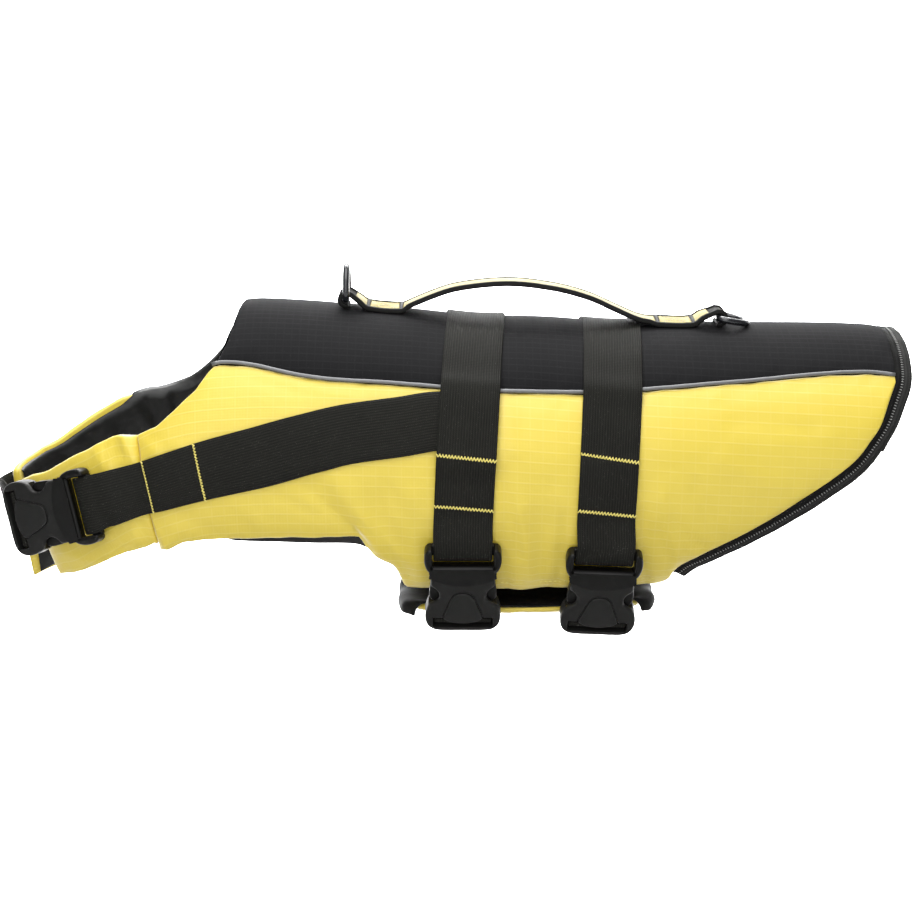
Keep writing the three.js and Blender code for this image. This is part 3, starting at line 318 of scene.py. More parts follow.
# The same for a grid, down its rows and across its columns
def gridLengths(grid):
    down = np.zeros(grid.shape[:2])
    down[1:] = np.cumsum(np.linalg.norm(np.diff(grid, axis=0), axis=2), axis=0)
    side = np.zeros(grid.shape[:2])
    side[:, 1:] = np.cumsum(np.linalg.norm(np.diff(grid, axis=1), axis=2), axis=1)
    return down, side


def crossed(run, across):
    return np.stack(np.broadcast_arrays(run[:, None], across[None, :]), -1).astype(float)


def walkLine(rows, step):
    rows = np.array(rows, float)
    mmPerDegree = 1.4
    lengths = runLengths(rows * np.array([1, mmPerDegree]))
    count = int(math.ceil(lengths[-1] / step))
    return hermite(lengths, rows, np.linspace(0, lengths[-1], count + 1))


def splineRows(grid, step):
    lengths = runLengths(grid.reshape(len(grid), -1, 3).mean(1))
    count = int(math.ceil(lengths[-1] / step))
    at = np.linspace(0, lengths[-1], count + 1)
    return hermite(lengths, grid, at), at


# Meshes: a closed wall between an outer and an inner grid, with a rounded rim.
def signedVolume(points, quads):
    corners = points[quads]
    a, b, c, d = corners[:, 0], corners[:, 1], corners[:, 2], corners[:, 3]
    first = np.einsum("ij,ij->i", a, np.cross(b, c)).sum()
    second = np.einsum("ij,ij->i", a, np.cross(c, d)).sum()
    return first + second


def meshPiece(name, points, quads, places, material):
    quads = np.asarray(quads)
    if signedVolume(points, quads) < 0:
        quads = quads[:, ::-1]
    mesh = bpy.data.meshes.new(name)
    mesh.from_pydata((points * mm).tolist(), [], quads.tolist())
    layer = mesh.uv_layers.new(name="cloth")
    corners = np.zeros(len(mesh.loops), np.int32)
    mesh.loops.foreach_get("vertex_index", corners)
    layer.data.foreach_set("uv", (places[corners] * mm).astype(np.float32).ravel())
    mesh.polygons.foreach_set("use_smooth", np.ones(len(mesh.polygons), bool))
    mesh.materials.append(material)
    piece = bpy.data.objects.new(name, mesh)
    bpy.context.scene.collection.objects.link(piece)
    return piece


def wallPiece(name, outer, inner, places, roll, material, rimSteps=5):
    rows, columns = outer.shape[:2]
    rim = [(0, j) for j in range(columns)]
    rim += [(i, columns - 1) for i in range(1, rows)]
    rim += [(rows - 1, j) for j in range(columns - 2, -1, -1)]
    rim += [(i, 0) for i in range(rows - 2, 0, -1)]
    ri, rj = np.array(rim).T
    ni = np.clip(ri, 1, rows - 2)
    nj = np.clip(rj, 1, columns - 2)
    outer = outer.copy()
    inner = inner.copy()
    away = unit(outer[ri, rj] - outer[ni, nj])
    gap = np.linalg.norm(outer[ri, rj] - outer[ni, nj], axis=1, keepdims=True)
    pull = np.minimum(roll, gap * 0.6)
    placeStep = places[ri, rj] - places[ni, nj]
    placeStep = placeStep / np.maximum(np.linalg.norm(placeStep, axis=1, keepdims=True), 1e-6)
    outer[ri, rj] -= away * pull
    inner[ri, rj] -= away * pull
    top, low = outer[ri, rj], inner[ri, rj]
    centre, half = (top + low) / 2, (top - low) / 2
    points = [outer.reshape(-1, 3), inner.reshape(-1, 3)]
    spots = [places.reshape(-1, 2), places.reshape(-1, 2)]
    for k in range(1, rimSteps + 1):
        angle = math.pi * k / (rimSteps + 1)
        points.append(centre + half * math.cos(angle) + away * pull * math.sin(angle))
        spots.append(places[ri, rj] + placeStep * roll * angle)
    points = np.vstack(points)
    spots = np.vstack(spots)
    size = rows * columns
    index = np.arange(size).reshape(rows, columns)
    faces = np.stack([index[:-1, :-1], index[:-1, 1:], index[1:, 1:], index[1:, :-1]], -1)
    faces = faces.reshape(-1, 4)
    quads = [faces, faces[:, ::-1] + size]
    around = ri * columns + rj
    count = len(rim)
    rings = [around] + [2 * size + k * count + np.arange(count) for k in range(rimSteps)]
    rings.append(around + size)
    for here, there in zip(rings[:-1], rings[1:]):
        quads.append(np.stack([np.roll(here, -1), here, there, np.roll(there, -1)], -1))
    return meshPiece(name, points, np.vstack(quads), spots, material)


def rimDistance(outer):
    down, side = gridLengths(outer)
    return np.minimum(
        np.minimum(down, down[-1:] - down), np.minimum(side, side[:, -1:] - side)
    )


def gridPlaces(grid):
    down, side = gridLengths(grid)
    return np.stack([side, down], -1)


def smoothStep(low, high, at):
    share = np.clip((np.asarray(at, float) - low) / (high - low), 0, 1)
    return share * share * (3 - 2 * share)


# Colours and materials
def linear(hexColour):
    channels = [int(hexColour[k : k + 2], 16) / 255 for k in (1, 3, 5)]
    return [c / 12.92 if c <= 0.04045 else ((c + 0.055) / 1.055) ** 2.4 for c in channels] + [1]


def addNode(tree, kind, links=None, **settings):
    node = tree.nodes.new(kind)
    for key, value in settings.items():
        setattr(node, key, value)
    for socket, source in (links or {}).items():
        if isinstance(source, bpy.types.NodeSocket):
            tree.links.new(source, node.inputs[socket])
        else:
            node.inputs[socket].default_value = source
    return node


def newMaterial(name, **constants):
    material = bpy.data.materials.new(name)
    material.use_nodes = True
    shader = material.node_tree.nodes["Principled BSDF"]
    for socket, value in constants.items():
        shader.inputs[socket.replace("_", " ")].default_value = value
    return material, material.node_tree, shader


def calc(tree, operation, a, b=0.0):
    return addNode(tree, "ShaderNodeMath", {0: a, 1: b}, operation=operation).outputs[0]


def clothAxes(tree):
    spot = addNode(tree, "ShaderNodeUVMap", uv_map="cloth")
    axes = addNode(tree, "ShaderNodeSeparateXYZ", {0: spot.outputs[0]})
    return axes.outputs[0], axes.outputs[1], spot.outputs[0]


# 1 on a thread line every pitch millimetres, 0 between
def threadLine(tree, axis, pitch, width):
    share = calc(tree, "FRACT", calc(tree, "MULTIPLY", axis, 1 / (pitch * mm)))
    fromMiddle = calc(tree, "ABSOLUTE", calc(tree, "SUBTRACT", share, 0.5))
    edge = 0.5 - width / pitch / 2
    ramp = addNode(
        tree, "ShaderNodeMapRange",
        {"Value": fromMiddle, "From Min": edge - 0.03, "From Max": edge},
        interpolation_type="SMOOTHSTEP",
    )
    return ramp.outputs["Result"]


def ripple(tree, axis, pitch):
    return calc(tree, "SINE", calc(tree, "MULTIPLY", axis, 2 * math.pi / (pitch * mm)))


def noise(tree, vector, size, detail=3.0):
    made = addNode(
        tree, "ShaderNodeTexNoise", {"Vector": vector, "Scale": 1 / (size * mm), "Detail": detail}
    )
    return made.outputs["Fac"]


def mixColour(tree, share, first, second):
    node = addNode(tree, "ShaderNodeMix", {0: share, 6: first, 7: second}, data_type="RGBA")
    return node.outputs[2]


def addBump(tree, shader, height, depth):
    bump = addNode(
        tree, "ShaderNodeBump", {"Height": height, "Strength": 1.0, "Distance": depth * mm}
    )
    tree.links.new(bump.outputs[0], shader.inputs["Normal"])


# Ripstop: plain woven polyester with a heavier thread every few millimetres, which shows as a
# fine lighter grid. The ground weave is finer than a pixel, so it is drawn coarser.
def ripstop(name, look):
    material, tree, shader = newMaterial(
        name, Roughness=look["roughness"], Sheen_Weight=look["sheen"], Sheen_Roughness=0.4,
        Specular_IOR_Level=look["gloss"],
    )
    u, v, spot = clothAxes(tree)
    objectSpot = addNode(tree, "ShaderNodeTexCoord").outputs["Object"]
    across = threadLine(tree, v, look["rowPitch"], look["lineWidth"])
    along = threadLine(tree, u, look["columnPitch"], look["lineWidth"])
    along = calc(tree, "MULTIPLY", along, look["columnShare"])
    grid = calc(tree, "MAXIMUM", across, along)
    broken = calc(tree, "MULTIPLY", grid, calc(tree, "ADD", noise(tree, objectSpot, 9), 0.25))
    weave = calc(tree, "ADD", ripple(tree, u, look["weave"]), ripple(tree, v, look["weave"]))
    patchy = noise(tree, objectSpot, 60, 2.0)
    ground = mixColour(tree, patchy, linear(look["low"]), linear(look["high"]))
    threads = mixColour(
        tree, calc(tree, "MULTIPLY", broken, look["lineStrength"]), ground, linear(look["line"])
    )
    fine = calc(tree, "MULTIPLY", calc(tree, "ADD", weave, 2.0), look["weaveShade"])
    woven = mixColour(tree, fine, threads, linear(look["low"]))
    tree.links.new(woven, shader.inputs["Base Color"])
    relief = calc(tree, "MULTIPLY", weave, 0.008)
    height = calc(tree, "ADD", calc(tree, "MULTIPLY", grid, 0.07), relief)
    wrinkle = calc(tree, "MULTIPLY", noise(tree, spot, 14, 4.0), look["wrinkle"])
    addBump(tree, shader, calc(tree, "ADD", height, wrinkle), 1.0)
    return material


yellowLook = {
    "roughness": 0.45, "sheen": 0.5, "gloss": 0.7, "rowPitch": 7.0, "columnPitch": 8.2,
    "lineWidth": 0.75, "columnShare": 0.3, "weave": 1.9, "low": "#d4bc3d", "high": "#dbc444",
    "line": "#ecdc80", "lineStrength": 0.28, "weaveShade": 0.015, "wrinkle": 0.4,
}
charcoalLook = {
    "roughness": 0.8, "sheen": 0.0, "gloss": 0.05, "rowPitch": 5.2, "columnPitch": 5.2,
    "lineWidth": 0.8, "columnShare": 0.6, "weave": 1.7, "low": "#1b1b1c", "high": "#212122",
    "line": "#2c2c2d", "lineStrength": 0.28, "weaveShade": 0.03, "wrinkle": 0.25,
}


# A material between two shades, in soft clouds of one size and detail, with a fine relief that is
# given as its size, detail and depth
def clouded(name, look, cloud, relief=None, **constants):
    material, tree, shader = newMaterial(name, **constants)
    spot = addNode(tree, "ShaderNodeTexCoord").outputs["Object"]
    shade = mixColour(tree, noise(tree, spot, *cloud), linear(look["low"]), linear(look["high"]))
    tree.links.new(shade, shader.inputs["Base Color"])
    if relief:
        size, detail, depth = relief
        addBump(tree, shader, noise(tree, spot, size, detail), depth)
    return material


# Coated lining: smooth, tightly woven and slightly glossy, so its folds catch soft highlights.
def coatedLining(name, look):
    return clouded(
        name, look, (22, 3.0), (16, 5.0, look["crease"]),
        Roughness=look["roughness"], Specular_IOR_Level=look["gloss"],
    )


# Webbing: thick polypropylene yarn woven flat. Ribs run lengthwise, crossed by finer picks.
def webbingWeave(name, look):
    material, tree, shader = newMaterial(
        name, Roughness=look["roughness"], Sheen_Weight=0.0, Specular_IOR_Level=0.12
    )
    u, v, spot = clothAxes(tree)
    ribs = ripple(tree, v, look["rib"])
    picks = ripple(tree, u, look["pick"])
    height = calc(tree, "MULTIPLY", ribs, 0.10)
    height = calc(tree, "ADD", height, calc(tree, "MULTIPLY", picks, 0.05))
    height = calc(tree, "ADD", height, calc(tree, "MULTIPLY", noise(tree, spot, 2.2, 2.0), 0.1))
    # Painted shade: the grooves between the ribs are coloured darker and the rib tops lighter.
    groove = calc(tree, "MULTIPLY", calc(tree, "ADD", ribs, 1.0), 0.5)
    ground = mixColour(tree, groove, linear(look["low"]), linear(look["high"]))
    cloud = noise(tree, spot, 18, 2.0)
    colour = mixColour(tree, calc(tree, "MULTIPLY", cloud, 0.35), ground, linear(look["worn"]))
    if "split" in look:
        inner = calc(tree, "GREATER_THAN", v, look["split"] * mm)
        colour = mixColour(tree, inner, colour, linear(look["innerSide"]))
    tree.links.new(colour, shader.inputs["Base Color"])
    addBump(tree, shader, height, 1.0)
    return material


# Buckles: acetal moulded in a finely sparked tool, black and satin.
def mouldedPlastic(name, look):
    return clouded(
        name, look, (8, 3.0), (0.7, 2.0, 0.03),
        Roughness=look["roughness"], Specular_IOR_Level=0.25, IOR=1.48,
    )


# Rings: steel wire bent and welded, with a thin black coat that is glossy and a little uneven.
def coatedSteel(look):
    return clouded(
        "steel wire black coated", look, (4, 3.0), (2.5, 2.0, 0.05),
        Roughness=0.24, Coat_Weight=0.5, Coat_Roughness=0.12,
    )


# Piping: cloth with glass beads in its coat, grey by day, over a cord.
def beadedPiping(look):
    return clouded(
        "reflective piping beaded", look, (3, 3.0), (1.2, 2.0, 0.05),
        Roughness=0.42, Metallic=0.25, Specular_IOR_Level=0.5,
    )


# Thread: twisted polyester, with a slight gloss.
def spunThread(name, colour):
    material, tree, shader = newMaterial(name, Roughness=0.5, Sheen_Weight=0.1)
    objectSpot = addNode(tree, "ShaderNodeTexCoord").outputs["Object"]
    cloud = noise(tree, objectSpot, 1.6, 1.0)
    darker = [c * 0.72 for c in linear(colour)[:3]] + [1]
    tree.links.new(mixColour(tree, cloud, darker, linear(colour)), shader.inputs["Base Color"])
    return material


yellowRipstop = ripstop("polyester ripstop woven yellow", yellowLook)
# Painted shade: the handle's facing takes a darker copy of the yellow ripstop, so that its upward
# face reads darker under the overhead light; its gloss and sheen are lowered too.
handleRipstopPaintedDarker = ripstop(
    "polyester ripstop woven yellow dulled by handling",
    {**yellowLook, "low": "#84773a", "high": "#8c7f40", "gloss": 0.1, "sheen": 0.0},
)
charcoalRipstop = ripstop("polyester ripstop woven charcoal", charcoalLook)
liningCloth = coatedLining(
    "coated polyester lining woven",
    {"roughness": 0.4, "gloss": 0.3, "low": "#121211", "high": "#1c1c1b", "crease": 1.3},
)
# The belly's copy of the lining is rougher and less glossy, and its colour is painted a little
# lighter than the neck lining's: painted light that lifts it out of the shade under the belly.
bellyLiningPaintedLighter = coatedLining(
    "coated polyester lining woven duller and painted lighter",
    {"roughness": 0.6, "gloss": 0.08, "low": "#171716", "high": "#20201f", "crease": 0.8},
)
strapWebbing = webbingWeave(
    "polypropylene webbing woven",
    {"roughness": 0.72, "rib": 1.7, "pick": 1.3,
     "low": "#10100e", "high": "#20201c", "worn": "#282824"},
)
bindingTape = webbingWeave(
    "polyester binding tape woven",
    {"roughness": 0.7, "rib": 2.4, "pick": 1.2,
     "low": "#10100f", "high": "#1d1d1c", "worn": "#242423"},
)
hemBinding = webbingWeave(
    "polyester hem binding woven in two tones",
    {"roughness": 0.75, "rib": 2.4, "pick": 1.2, "low": "#1d1d1c", "high": "#2a2a29",
     "worn": "#323231", "split": -4.0, "innerSide": "#0e0e0d"},
)
bucklePlastic = {  # the two halves come from two tools and differ in roughness; the male's darker colour is painted shade for its bar, which tilts down
    # Painted shade: the male half's colour is darker than the female's.
    "male": mouldedPlastic(
        "acetal moulded smooth with painted shade", {"roughness": 0.36, "low": "#0a0a09", "high": "#0e0e0d"}
    ),
    "female": mouldedPlastic(
        "acetal moulded satin", {"roughness": 0.45, "low": "#171716", "high": "#1d1d1c"}
    ),
}
ringCoat = coatedSteel({"low": "#17181a", "high": "#202226"})
pipingCloth = beadedPiping({"low": "#565758", "high": "#6a6b6c"})
yellowThread = spunThread("polyester thread yellow", "#f2e27a")
greyThread = spunThread("polyester thread light grey", "#8f908d")
blackThread = spunThread("polyester thread black", "#1d1d1c")
print("materials made")


def finishPiece(piece, nodes, body="jacket"):
    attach(piece, body)
    if nodes:
        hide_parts(*nodes)
    return piece


def finishPadded(piece, node):
    finishPiece(piece, [node])


# Padded panels: foam between two cloths, sewn thin along the rim and full in the middle.
panelLook = {
    "step": 3.2, "rimSink": 1.5, "rimWidth": 5.0, "swell": 0.9,
    "swellWidth": 22, "pucker": 0.28, "puckerWidth": 6.0,
}
panelSize = {"side": 150, "flap": (96, 100), "saddle": (440, 180)}  # length and depth of the cut


def puckers(distance, run, seed, height, width):
    spread = np.sin(run / 3.1 + seed) + 0.7 * np.sin(run / 5.3 + 2.1 * seed) + 0.5 * np.sin(
        run / 1.9 + 0.7 * seed
    )
    return height * spread * np.exp(-distance / width)


# A padded piece over the places of a patch; own measures its weave on itself, not on the body.
def paddedPiece(
    node, along, turn, side, creases, seed, flare=0.0, roll=2.4, material=yellowRipstop,
    own=False,
):
    signed = turn * side
    base = facePoint(along, signed, 0.0)
    distance = rimDistance(base)
    places = gridPlaces(base) if own else clothPlace(along, signed)
    sink = panelLook["rimSink"] * np.exp(-distance / panelLook["rimWidth"])
    swell = panelLook["swell"] * (1 - np.exp(-distance / panelLook["swellWidth"]))
    run = places[..., 0] + places[..., 1] * 0.8
    ripples = puckers(distance, run, seed, panelLook["pucker"], panelLook["puckerWidth"])
    height = foldSum(creases, along, signed) - sink + swell + ripples + flare
    outer = facePoint(along, signed, height)
    inner = facePoint(along, signed, -wall["foam"] + flare + sink * 0.6)
    finishPadded(wallPiece(node + "_cloth", outer, inner, places, roll, material), node)


def patch(upper, lower, rows):
    f = np.linspace(0, 1, rows + 1)[:, None]
    along = upper[None, :, 0] * (1 - f) + lower[None, :, 0] * f
    turn = upper[None, :, 1] * (1 - f) + lower[None, :, 1] * f
    return along, turn


def upperTurn(along, side):
    edge = np.array(neckline[side] + seamLine[1:], float)
    return np.interp(along, edge[:, 0], edge[:, 1])


# The far flap's low corner stands off the body.
def flareAt(along, turn, side):
    ends = flapEnds[side]
    top = np.interp(along, *np.array(neckline[side], float).T)
    low = np.interp(along, *np.array(flapLow, float).T)
    f = np.clip((turn - top) / np.maximum(low - top, 1), 0, 1.1)
    free = ends["top"] * (1 - f) + ends["low"] * f
    end = hinge["top"] * (1 - f) + hinge["low"] * f
    g = np.clip((along - free) / (end - free), 0, 1)
    return ends["flare"] * f * np.maximum(0, 1 - g / hinge["flareReach"]) ** 2


def buildSidePanels():
    lean = np.array(
        ((hinge["low"], hinge["top"]), (190, 174), (298, 284), (393, 391), (474.6, 486),
         (568, 584), (604, 611.5), (612, 614.6), (616.6, 617.2)), float,
    )
    edge = ((hinge["low"], 120.5),) + sideLow[1:] + hemLine[1:9] + ((616.6, 54.6),)
    lower = walkLine(edge, panelLook["step"])
    upperAlong = np.interp(lower[:, 0], lean[:, 0], lean[:, 1])
    rows = int(panelSize["side"] / panelLook["step"])
    for name, side, creases, seed in (
        ("side_panel_near", 1, nearCreases, 1.3),
        ("side_panel_far", -1, farCreases, 4.1),
    ):
        upper = np.stack([upperAlong, upperTurn(upperAlong, side) + 0.12], -1)
        along, turn = patch(upper, lower, rows)
        paddedPiece(name, along, turn, side, creases, seed)


def buildFlaps():
    steps, rows = (int(size / panelLook["step"]) for size in panelSize["flap"])
    g = np.linspace(0, 1, steps + 1)[None, :]
    f = np.linspace(0, 1, rows + 1)[:, None]
    low = np.array(flapLow, float)
    for name, side, creases, seed in (
        ("neck_flap_near", 1, nearCreases, 2.2), ("neck_flap_far", -1, farCreases, 5.7),
    ):
        ends = flapEnds[side]
        topAlong = ends["top"] + (hinge["top"] - ends["top"]) * g
        lowAlong = ends["low"] + (hinge["low"] - 0.2 - ends["low"]) * g
        topTurn = upperTurn(topAlong, side)
        lowTurn = np.interp(lowAlong, low[:, 0], low[:, 1]) + (ends["lowTurn"] - 120) * (1 - g)
        along = topAlong * (1 - f) + lowAlong * f
        turn = topTurn * (1 - f) + lowTurn * f
        flare = ends["flare"] * f * np.maximum(0, 1 - g / hinge["flareReach"]) ** 2
        paddedPiece(name, along, turn, side, creases, seed, flare=flare, roll=1.4, own=True)


saddleEnds = (175, 617.6)


def buildSaddle():
    steps, turns = (int(size / panelLook["step"]) for size in panelSize["saddle"])
    f = np.linspace(0, 1, steps + 1)[None, :]
    across = np.linspace(-1, 1, turns + 1)[:, None]
    front, tail = saddleEnds
    seamAlong = front + (tail - front) * f
    seam = np.array(seamLine, float)
    lip = np.array(saddleFront[::-1], float)
    seamTurn = np.interp(seamAlong, seam[:, 0], seam[:, 1]) - 0.12
    turn = across * seamTurn
    lead = np.interp(np.abs(turn), lip[:, 1], lip[:, 0]) - saddleFront[0][0]
    along = seamAlong + lead * (1 - f)
    paddedPiece(
        "saddle_panel", along, turn, 1, (), 3.3, material=charcoalRipstop,
    )


# Linings: a thin cloth on the inside, with soft creases where the neck closes in.
liningFolds = (
    (96, 72, 104, 112, 4.2, 2.4),
    (105, 67, 118, 108, 3.4, -3.0),
    (111, 64, 132, 98, 2.8, 2.6),
    (124, 64, 121, 116, 2.6, -2.6),
    (132, 66, 130, 108, 2.2, 1.8),
    (84, 68, 80, 114, 4.5, -2.2),
    (70, 60, 90, 78, 2.6, 1.8),
    (46, 58, 72, 74, 2.2, 1.6),
    (60, 66, 66, 112, 5.0, 1.6),
    (142, 62, 152, 104, 5.0, -1.6),
    (160, 52, 170, 96, 6.0, 1.2),
)


# How the lining's upper rows run over the panel's edge: degrees past the edge and height over the
# outer face, first on the lining's face to the panel, then on its open face.
rolledRows = (
    (
        (1.6, 0.1), (0.45, -0.25), (-0.05, -1.6), (-0.1, -3.5), (0, -5.6), (0.7, -6.9), (2, -7.4),
    ),
    (
        (1.7, 0.8), (0.2, 0.55), (-0.65, -1.2), (-0.75, -3.5), (-0.6, -6.2), (0.4, -7.9),
        (2, -8.5),
    ),
)
tuckedRows = (
    ((0.3, -4.6), (0.29, -4.8), (0.27, -5.1), (0.24, -5.6), (0.2, -6.2), (0.9, -7), (2, -7.4)),
    ((0.15, -4.5), (0.08, -4.8), (0, -5.3), (-0.12, -6), (-0.25, -6.8), (0.5, -8), (2, -8.5)),
)
rollReach = (100, 110, 170, 178)  # the far lining comes over the edge between these lengths
rolledDrop = 2.6  # in front of that, it starts this many degrees inside the edge
liningFit = {"clear": 1.8, "deepest": 1.6, "step": 5.0, "rows": 44}


def buildLinings():
    low = {
        1: ((50, 118), (73, 117.4), (118, 115), (131, 118), (150, 118), (176, 121), (186, 123.6)),
        -1: (
            (5, 125.8), (30, 122.9), (60, 120), (90, 117), (118, 115), (131, 118), (150, 118),
            (176, 120.3), (186, 121.6),
        ),
    }
    lowTail = (
        (233, 124.4), (262, 123.6), (274, 126), (300, 142), (359, 143.4), (448, 145), (471, 142.5),
        (484, 133), (504, 126.5), (546, 113), (568, 105), (590, 95), (602, 83), (610, 66),
        (614, 50), (615, 30),
    )
    for name, side, freeTop in (("lining_near", 1, 37), ("lining_far", -1, 2)):
        lower = walkLine(low[side] + lowTail, liningFit["step"])
        lean = np.array(
            ((low[side][0][0], freeTop), (118, 112), (131, 127), (176, 174.5), (182, 182),
             (186, 185.6), (190, 187.2), (471, 486), (568, 590), (602, 608), (610, 613),
             (615, 615)), float,
        )
        upperAlong = np.interp(lower[:, 0], lean[:, 0], lean[:, 1])
        neckRows = np.array(neckline[side] + saddleFront[1:], float)
        neckTurn = np.interp(upperAlong, neckRows[:, 0], neckRows[:, 1])
        ridge = smoothStep(182, 187, upperAlong)
        rolled = smoothStep(*rollReach[:2], upperAlong) * (side < 0)
        rolled = rolled * (1 - smoothStep(*rollReach[2:], upperAlong))
        inside = rolledDrop * (side < 0) * (1 - smoothStep(96, 110, upperAlong))
        start = (neckTurn + inside) * (1 - ridge) + 0.12 * ridge
        upper = np.stack([upperAlong, start + 2 * (1 - ridge)], -1)
        along, turn = patch(upper, lower, liningFit["rows"])
        count = len(rolledRows[0]) - 1
        grids = []
        for face in (0, 1):
            shapes = [
                np.array(tuckedRows[face][k])[:, None] * (1 - rolled)
                + np.array(rolledRows[face][k])[:, None] * rolled
                for k in range(count)
            ]
            offsets = np.array([shape[0] for shape in shapes]) * (1 - ridge)
            flat = -7.4 - 1.1 * face
            levels = np.array([shape[1] for shape in shapes])
            levels = levels * (1 - ridge) + flat * ridge
            tucks = np.arange(count)[:, None] * 0.02 * ridge
            allAlong = np.vstack([np.broadcast_to(upperAlong, offsets.shape), along])
            allTurn = np.vstack([start + offsets + tucks, turn])
            allLevel = np.vstack([levels, np.full(along.shape, flat)])
            past = np.vstack([np.zeros(offsets.shape), np.ones(along.shape)])
            past = past * smoothStep(0, 9, rimDistance(facePoint(allAlong, allTurn)))
            signed = allTurn * side
            fold = foldSum(liningFolds, allAlong, signed)
            fold = np.minimum(fold, liningFit["deepest"]) * past
            lift = flareAt(allAlong, allTurn, side)
            clear = liningFit["clear"] * past
            grids.append(facePoint(allAlong, signed, allLevel + fold - clear + lift))
        places = gridPlaces(grids[1])
        piece = wallPiece(name + "_cloth", *grids, places, 0.5, liningCloth, rimSteps=3)
        finishPiece(piece, [name])


print("cloth panels")
buildSaddle()
buildSidePanels()
buildFlaps()
buildLinings()


# Straps: bands of webbing whose rows are set across a line on the form.
def bandRows(places, across, lowAt, highAt):
    along, turn = places[:, 0], places[:, 1]
    last = len(places) - 1
    before = places[np.maximum(np.arange(last + 1) - 1, 0)]
    after = places[np.minimum(np.arange(last + 1) + 1, last)]
    alongStep, turnStep, outward = formSteps(along, turn)
    heading = unit(formPoint(after[:, 0], after[:, 1]) - formPoint(before[:, 0], before[:, 1]))
    sideways = unit(np.cross(outward, heading))
    aa = (alongStep * alongStep).sum(1)
    rr = (turnStep * turnStep).sum(1)
    ar = (alongStep * turnStep).sum(1)
    sa = (sideways * alongStep).sum(1)
    sr = (sideways * turnStep).sum(1)
    det = aa * rr - ar * ar
    stepAlong = (sa * rr - sr * ar) / det
    stepTurn = (sr * aa - sa * ar) / det
    spotAlong = along[:, None] + stepAlong[:, None] * across[None, :]
    spotTurn = turn[:, None] + stepTurn[:, None] * across[None, :]
    low = lowAt(along, turn)[:, None] + np.zeros_like(spotAlong)
    high = highAt(along, turn)[:, None] + np.zeros_like(spotAlong)
    return facePoint(spotAlong, spotTurn, high), facePoint(spotAlong, spotTurn, low)


strapShare = np.linspace(-1, 1, 9)
strapAcross = strapShare * wall["webbingWidth"] / 2
strapRest = 0.9  # the gap between a panel and the webbing on it


def buckleAxes(place, out, u, w):
    u = unit(np.array(u, float))
    w = np.array(w, float)
    w = unit(w - u * (w @ u))
    return {"at": facePoint(*place, out), "u": u, "v": np.cross(w, u), "w": w}


def bellyAxes(key):
    strap = girthStraps[key]
    drop = math.radians(27)
    swing = math.radians(strap["swing"])
    return buckleAxes(
        (strap["low"], strap["buckleTurn"]), strap["buckleOut"],
        (math.sin(swing), math.sin(drop), -math.cos(drop)), (0, -math.cos(drop), -math.sin(drop)),
    )


def chestAxes():
    yaw = math.radians(28)
    dip = math.radians(15.4)
    return buckleAxes(
        (98, 86.4), 1.4,
        (-math.cos(yaw) * math.cos(dip), math.sin(yaw) * math.cos(dip), -math.sin(dip)),
        (-math.sin(yaw), -math.cos(yaw), 0),
    )


def buckleRows(axes, path, side):
    path = np.array([(p + (0,))[:3] for p in path], float)
    last = len(path) - 1
    after = path[np.minimum(np.arange(last + 1) + 1, last)]
    before = path[np.maximum(np.arange(last + 1) - 1, 0)]
    run = unit((after - before)[:, :2])
    normal = np.stack([-side * run[:, 1], side * run[:, 0]], -1)
    grids = []
    for half in (wall["webbing"] / 2, -wall["webbing"] / 2):
        u = path[:, 0] + normal[:, 0] * half
        w = path[:, 1] + normal[:, 1] * half
        v = path[:, 2][:, None] + side * strapAcross[None, :]
        grids.append(
            axes["at"] + u[:, None, None] * axes["u"] + w[:, None, None] * axes["w"]
            + v[..., None] * axes["v"]
        )
    return grids


malePath = ((2, 6.9), (8, 7), (11.8, 5.4), (12.9, 3))
femalePath = (
    (59.4, 10), (61.4, 10.1), (63.4, 8.9), (64.5, 6.4), (64.6, 3.4), (65, 0.2), (67, -1.7),
)


strapTops = {}


# A strap in parts, each a grid of its outer face and one of its inner face
def layStrap(key, node, *parts):
    top, low = (np.vstack(faces) for faces in zip(*parts))
    fineTop, run = splineRows(top, 2.6)
    fineLow, _ = splineRows(low, 2.6)
    count = min(len(fineTop), len(fineLow))
    if len(fineTop) != len(fineLow):
        share = np.linspace(0, 1, count)
        fineTop = hermite(np.linspace(0, 1, len(fineTop)), fineTop, share)
        fineLow = hermite(np.linspace(0, 1, len(fineLow)), fineLow, share)
        run = np.linspace(0, run[-1], count)
    places = crossed(run, strapAcross)
    piece = wallPiece(node + "_webbing", fineTop, fineLow, places, 0.8, strapWebbing, rimSteps=3)
    finishPiece(piece, [node])
    strapTops[key] = fineTop, unit(fineTop - fineLow)


def buildGirthStraps():
    for key, strap in girthStraps.items():
        farEnd = -143.5
        nearEnd = strap["buckleTurn"] - 1.5
        turn = np.linspace(farEnd, nearEnd, 64)
        places = np.stack([strapAlong(strap, turn), turn], -1)

        def low(along, turn, key=key, strap=strap, nearEnd=nearEnd):
            absolute = np.abs(turn)
            lift = 2.4 * np.exp(-(((absolute - 55.5) / 6.5) ** 2))
            if key == "front":
                over = 3.0 * smoothStep(46, 54, absolute) * (1 - smoothStep(88, 94, absolute))
                lift = np.maximum(lift, over)
            toBuckle = smoothStep(strap["buckleTurn"] - 9, nearEnd, turn)
            return strapRest + lift + toBuckle * (strap["buckleOut"] + 3.8)

        def high(along, turn, low=low, strap=strap, nearEnd=nearEnd):
            doubled = 1.6 * smoothStep(84.6, 86.4, turn)
            doubled = doubled * (1 - smoothStep(strap["buckleTurn"] - 9, nearEnd, turn))
            return low(along, turn) + wall["webbing"] + doubled

        layStrap(
            key, f"girth_strap_{key}", bandRows(places, strapAcross, low, high),
            buckleRows(bellyAxes(key), malePath, 1),
        )


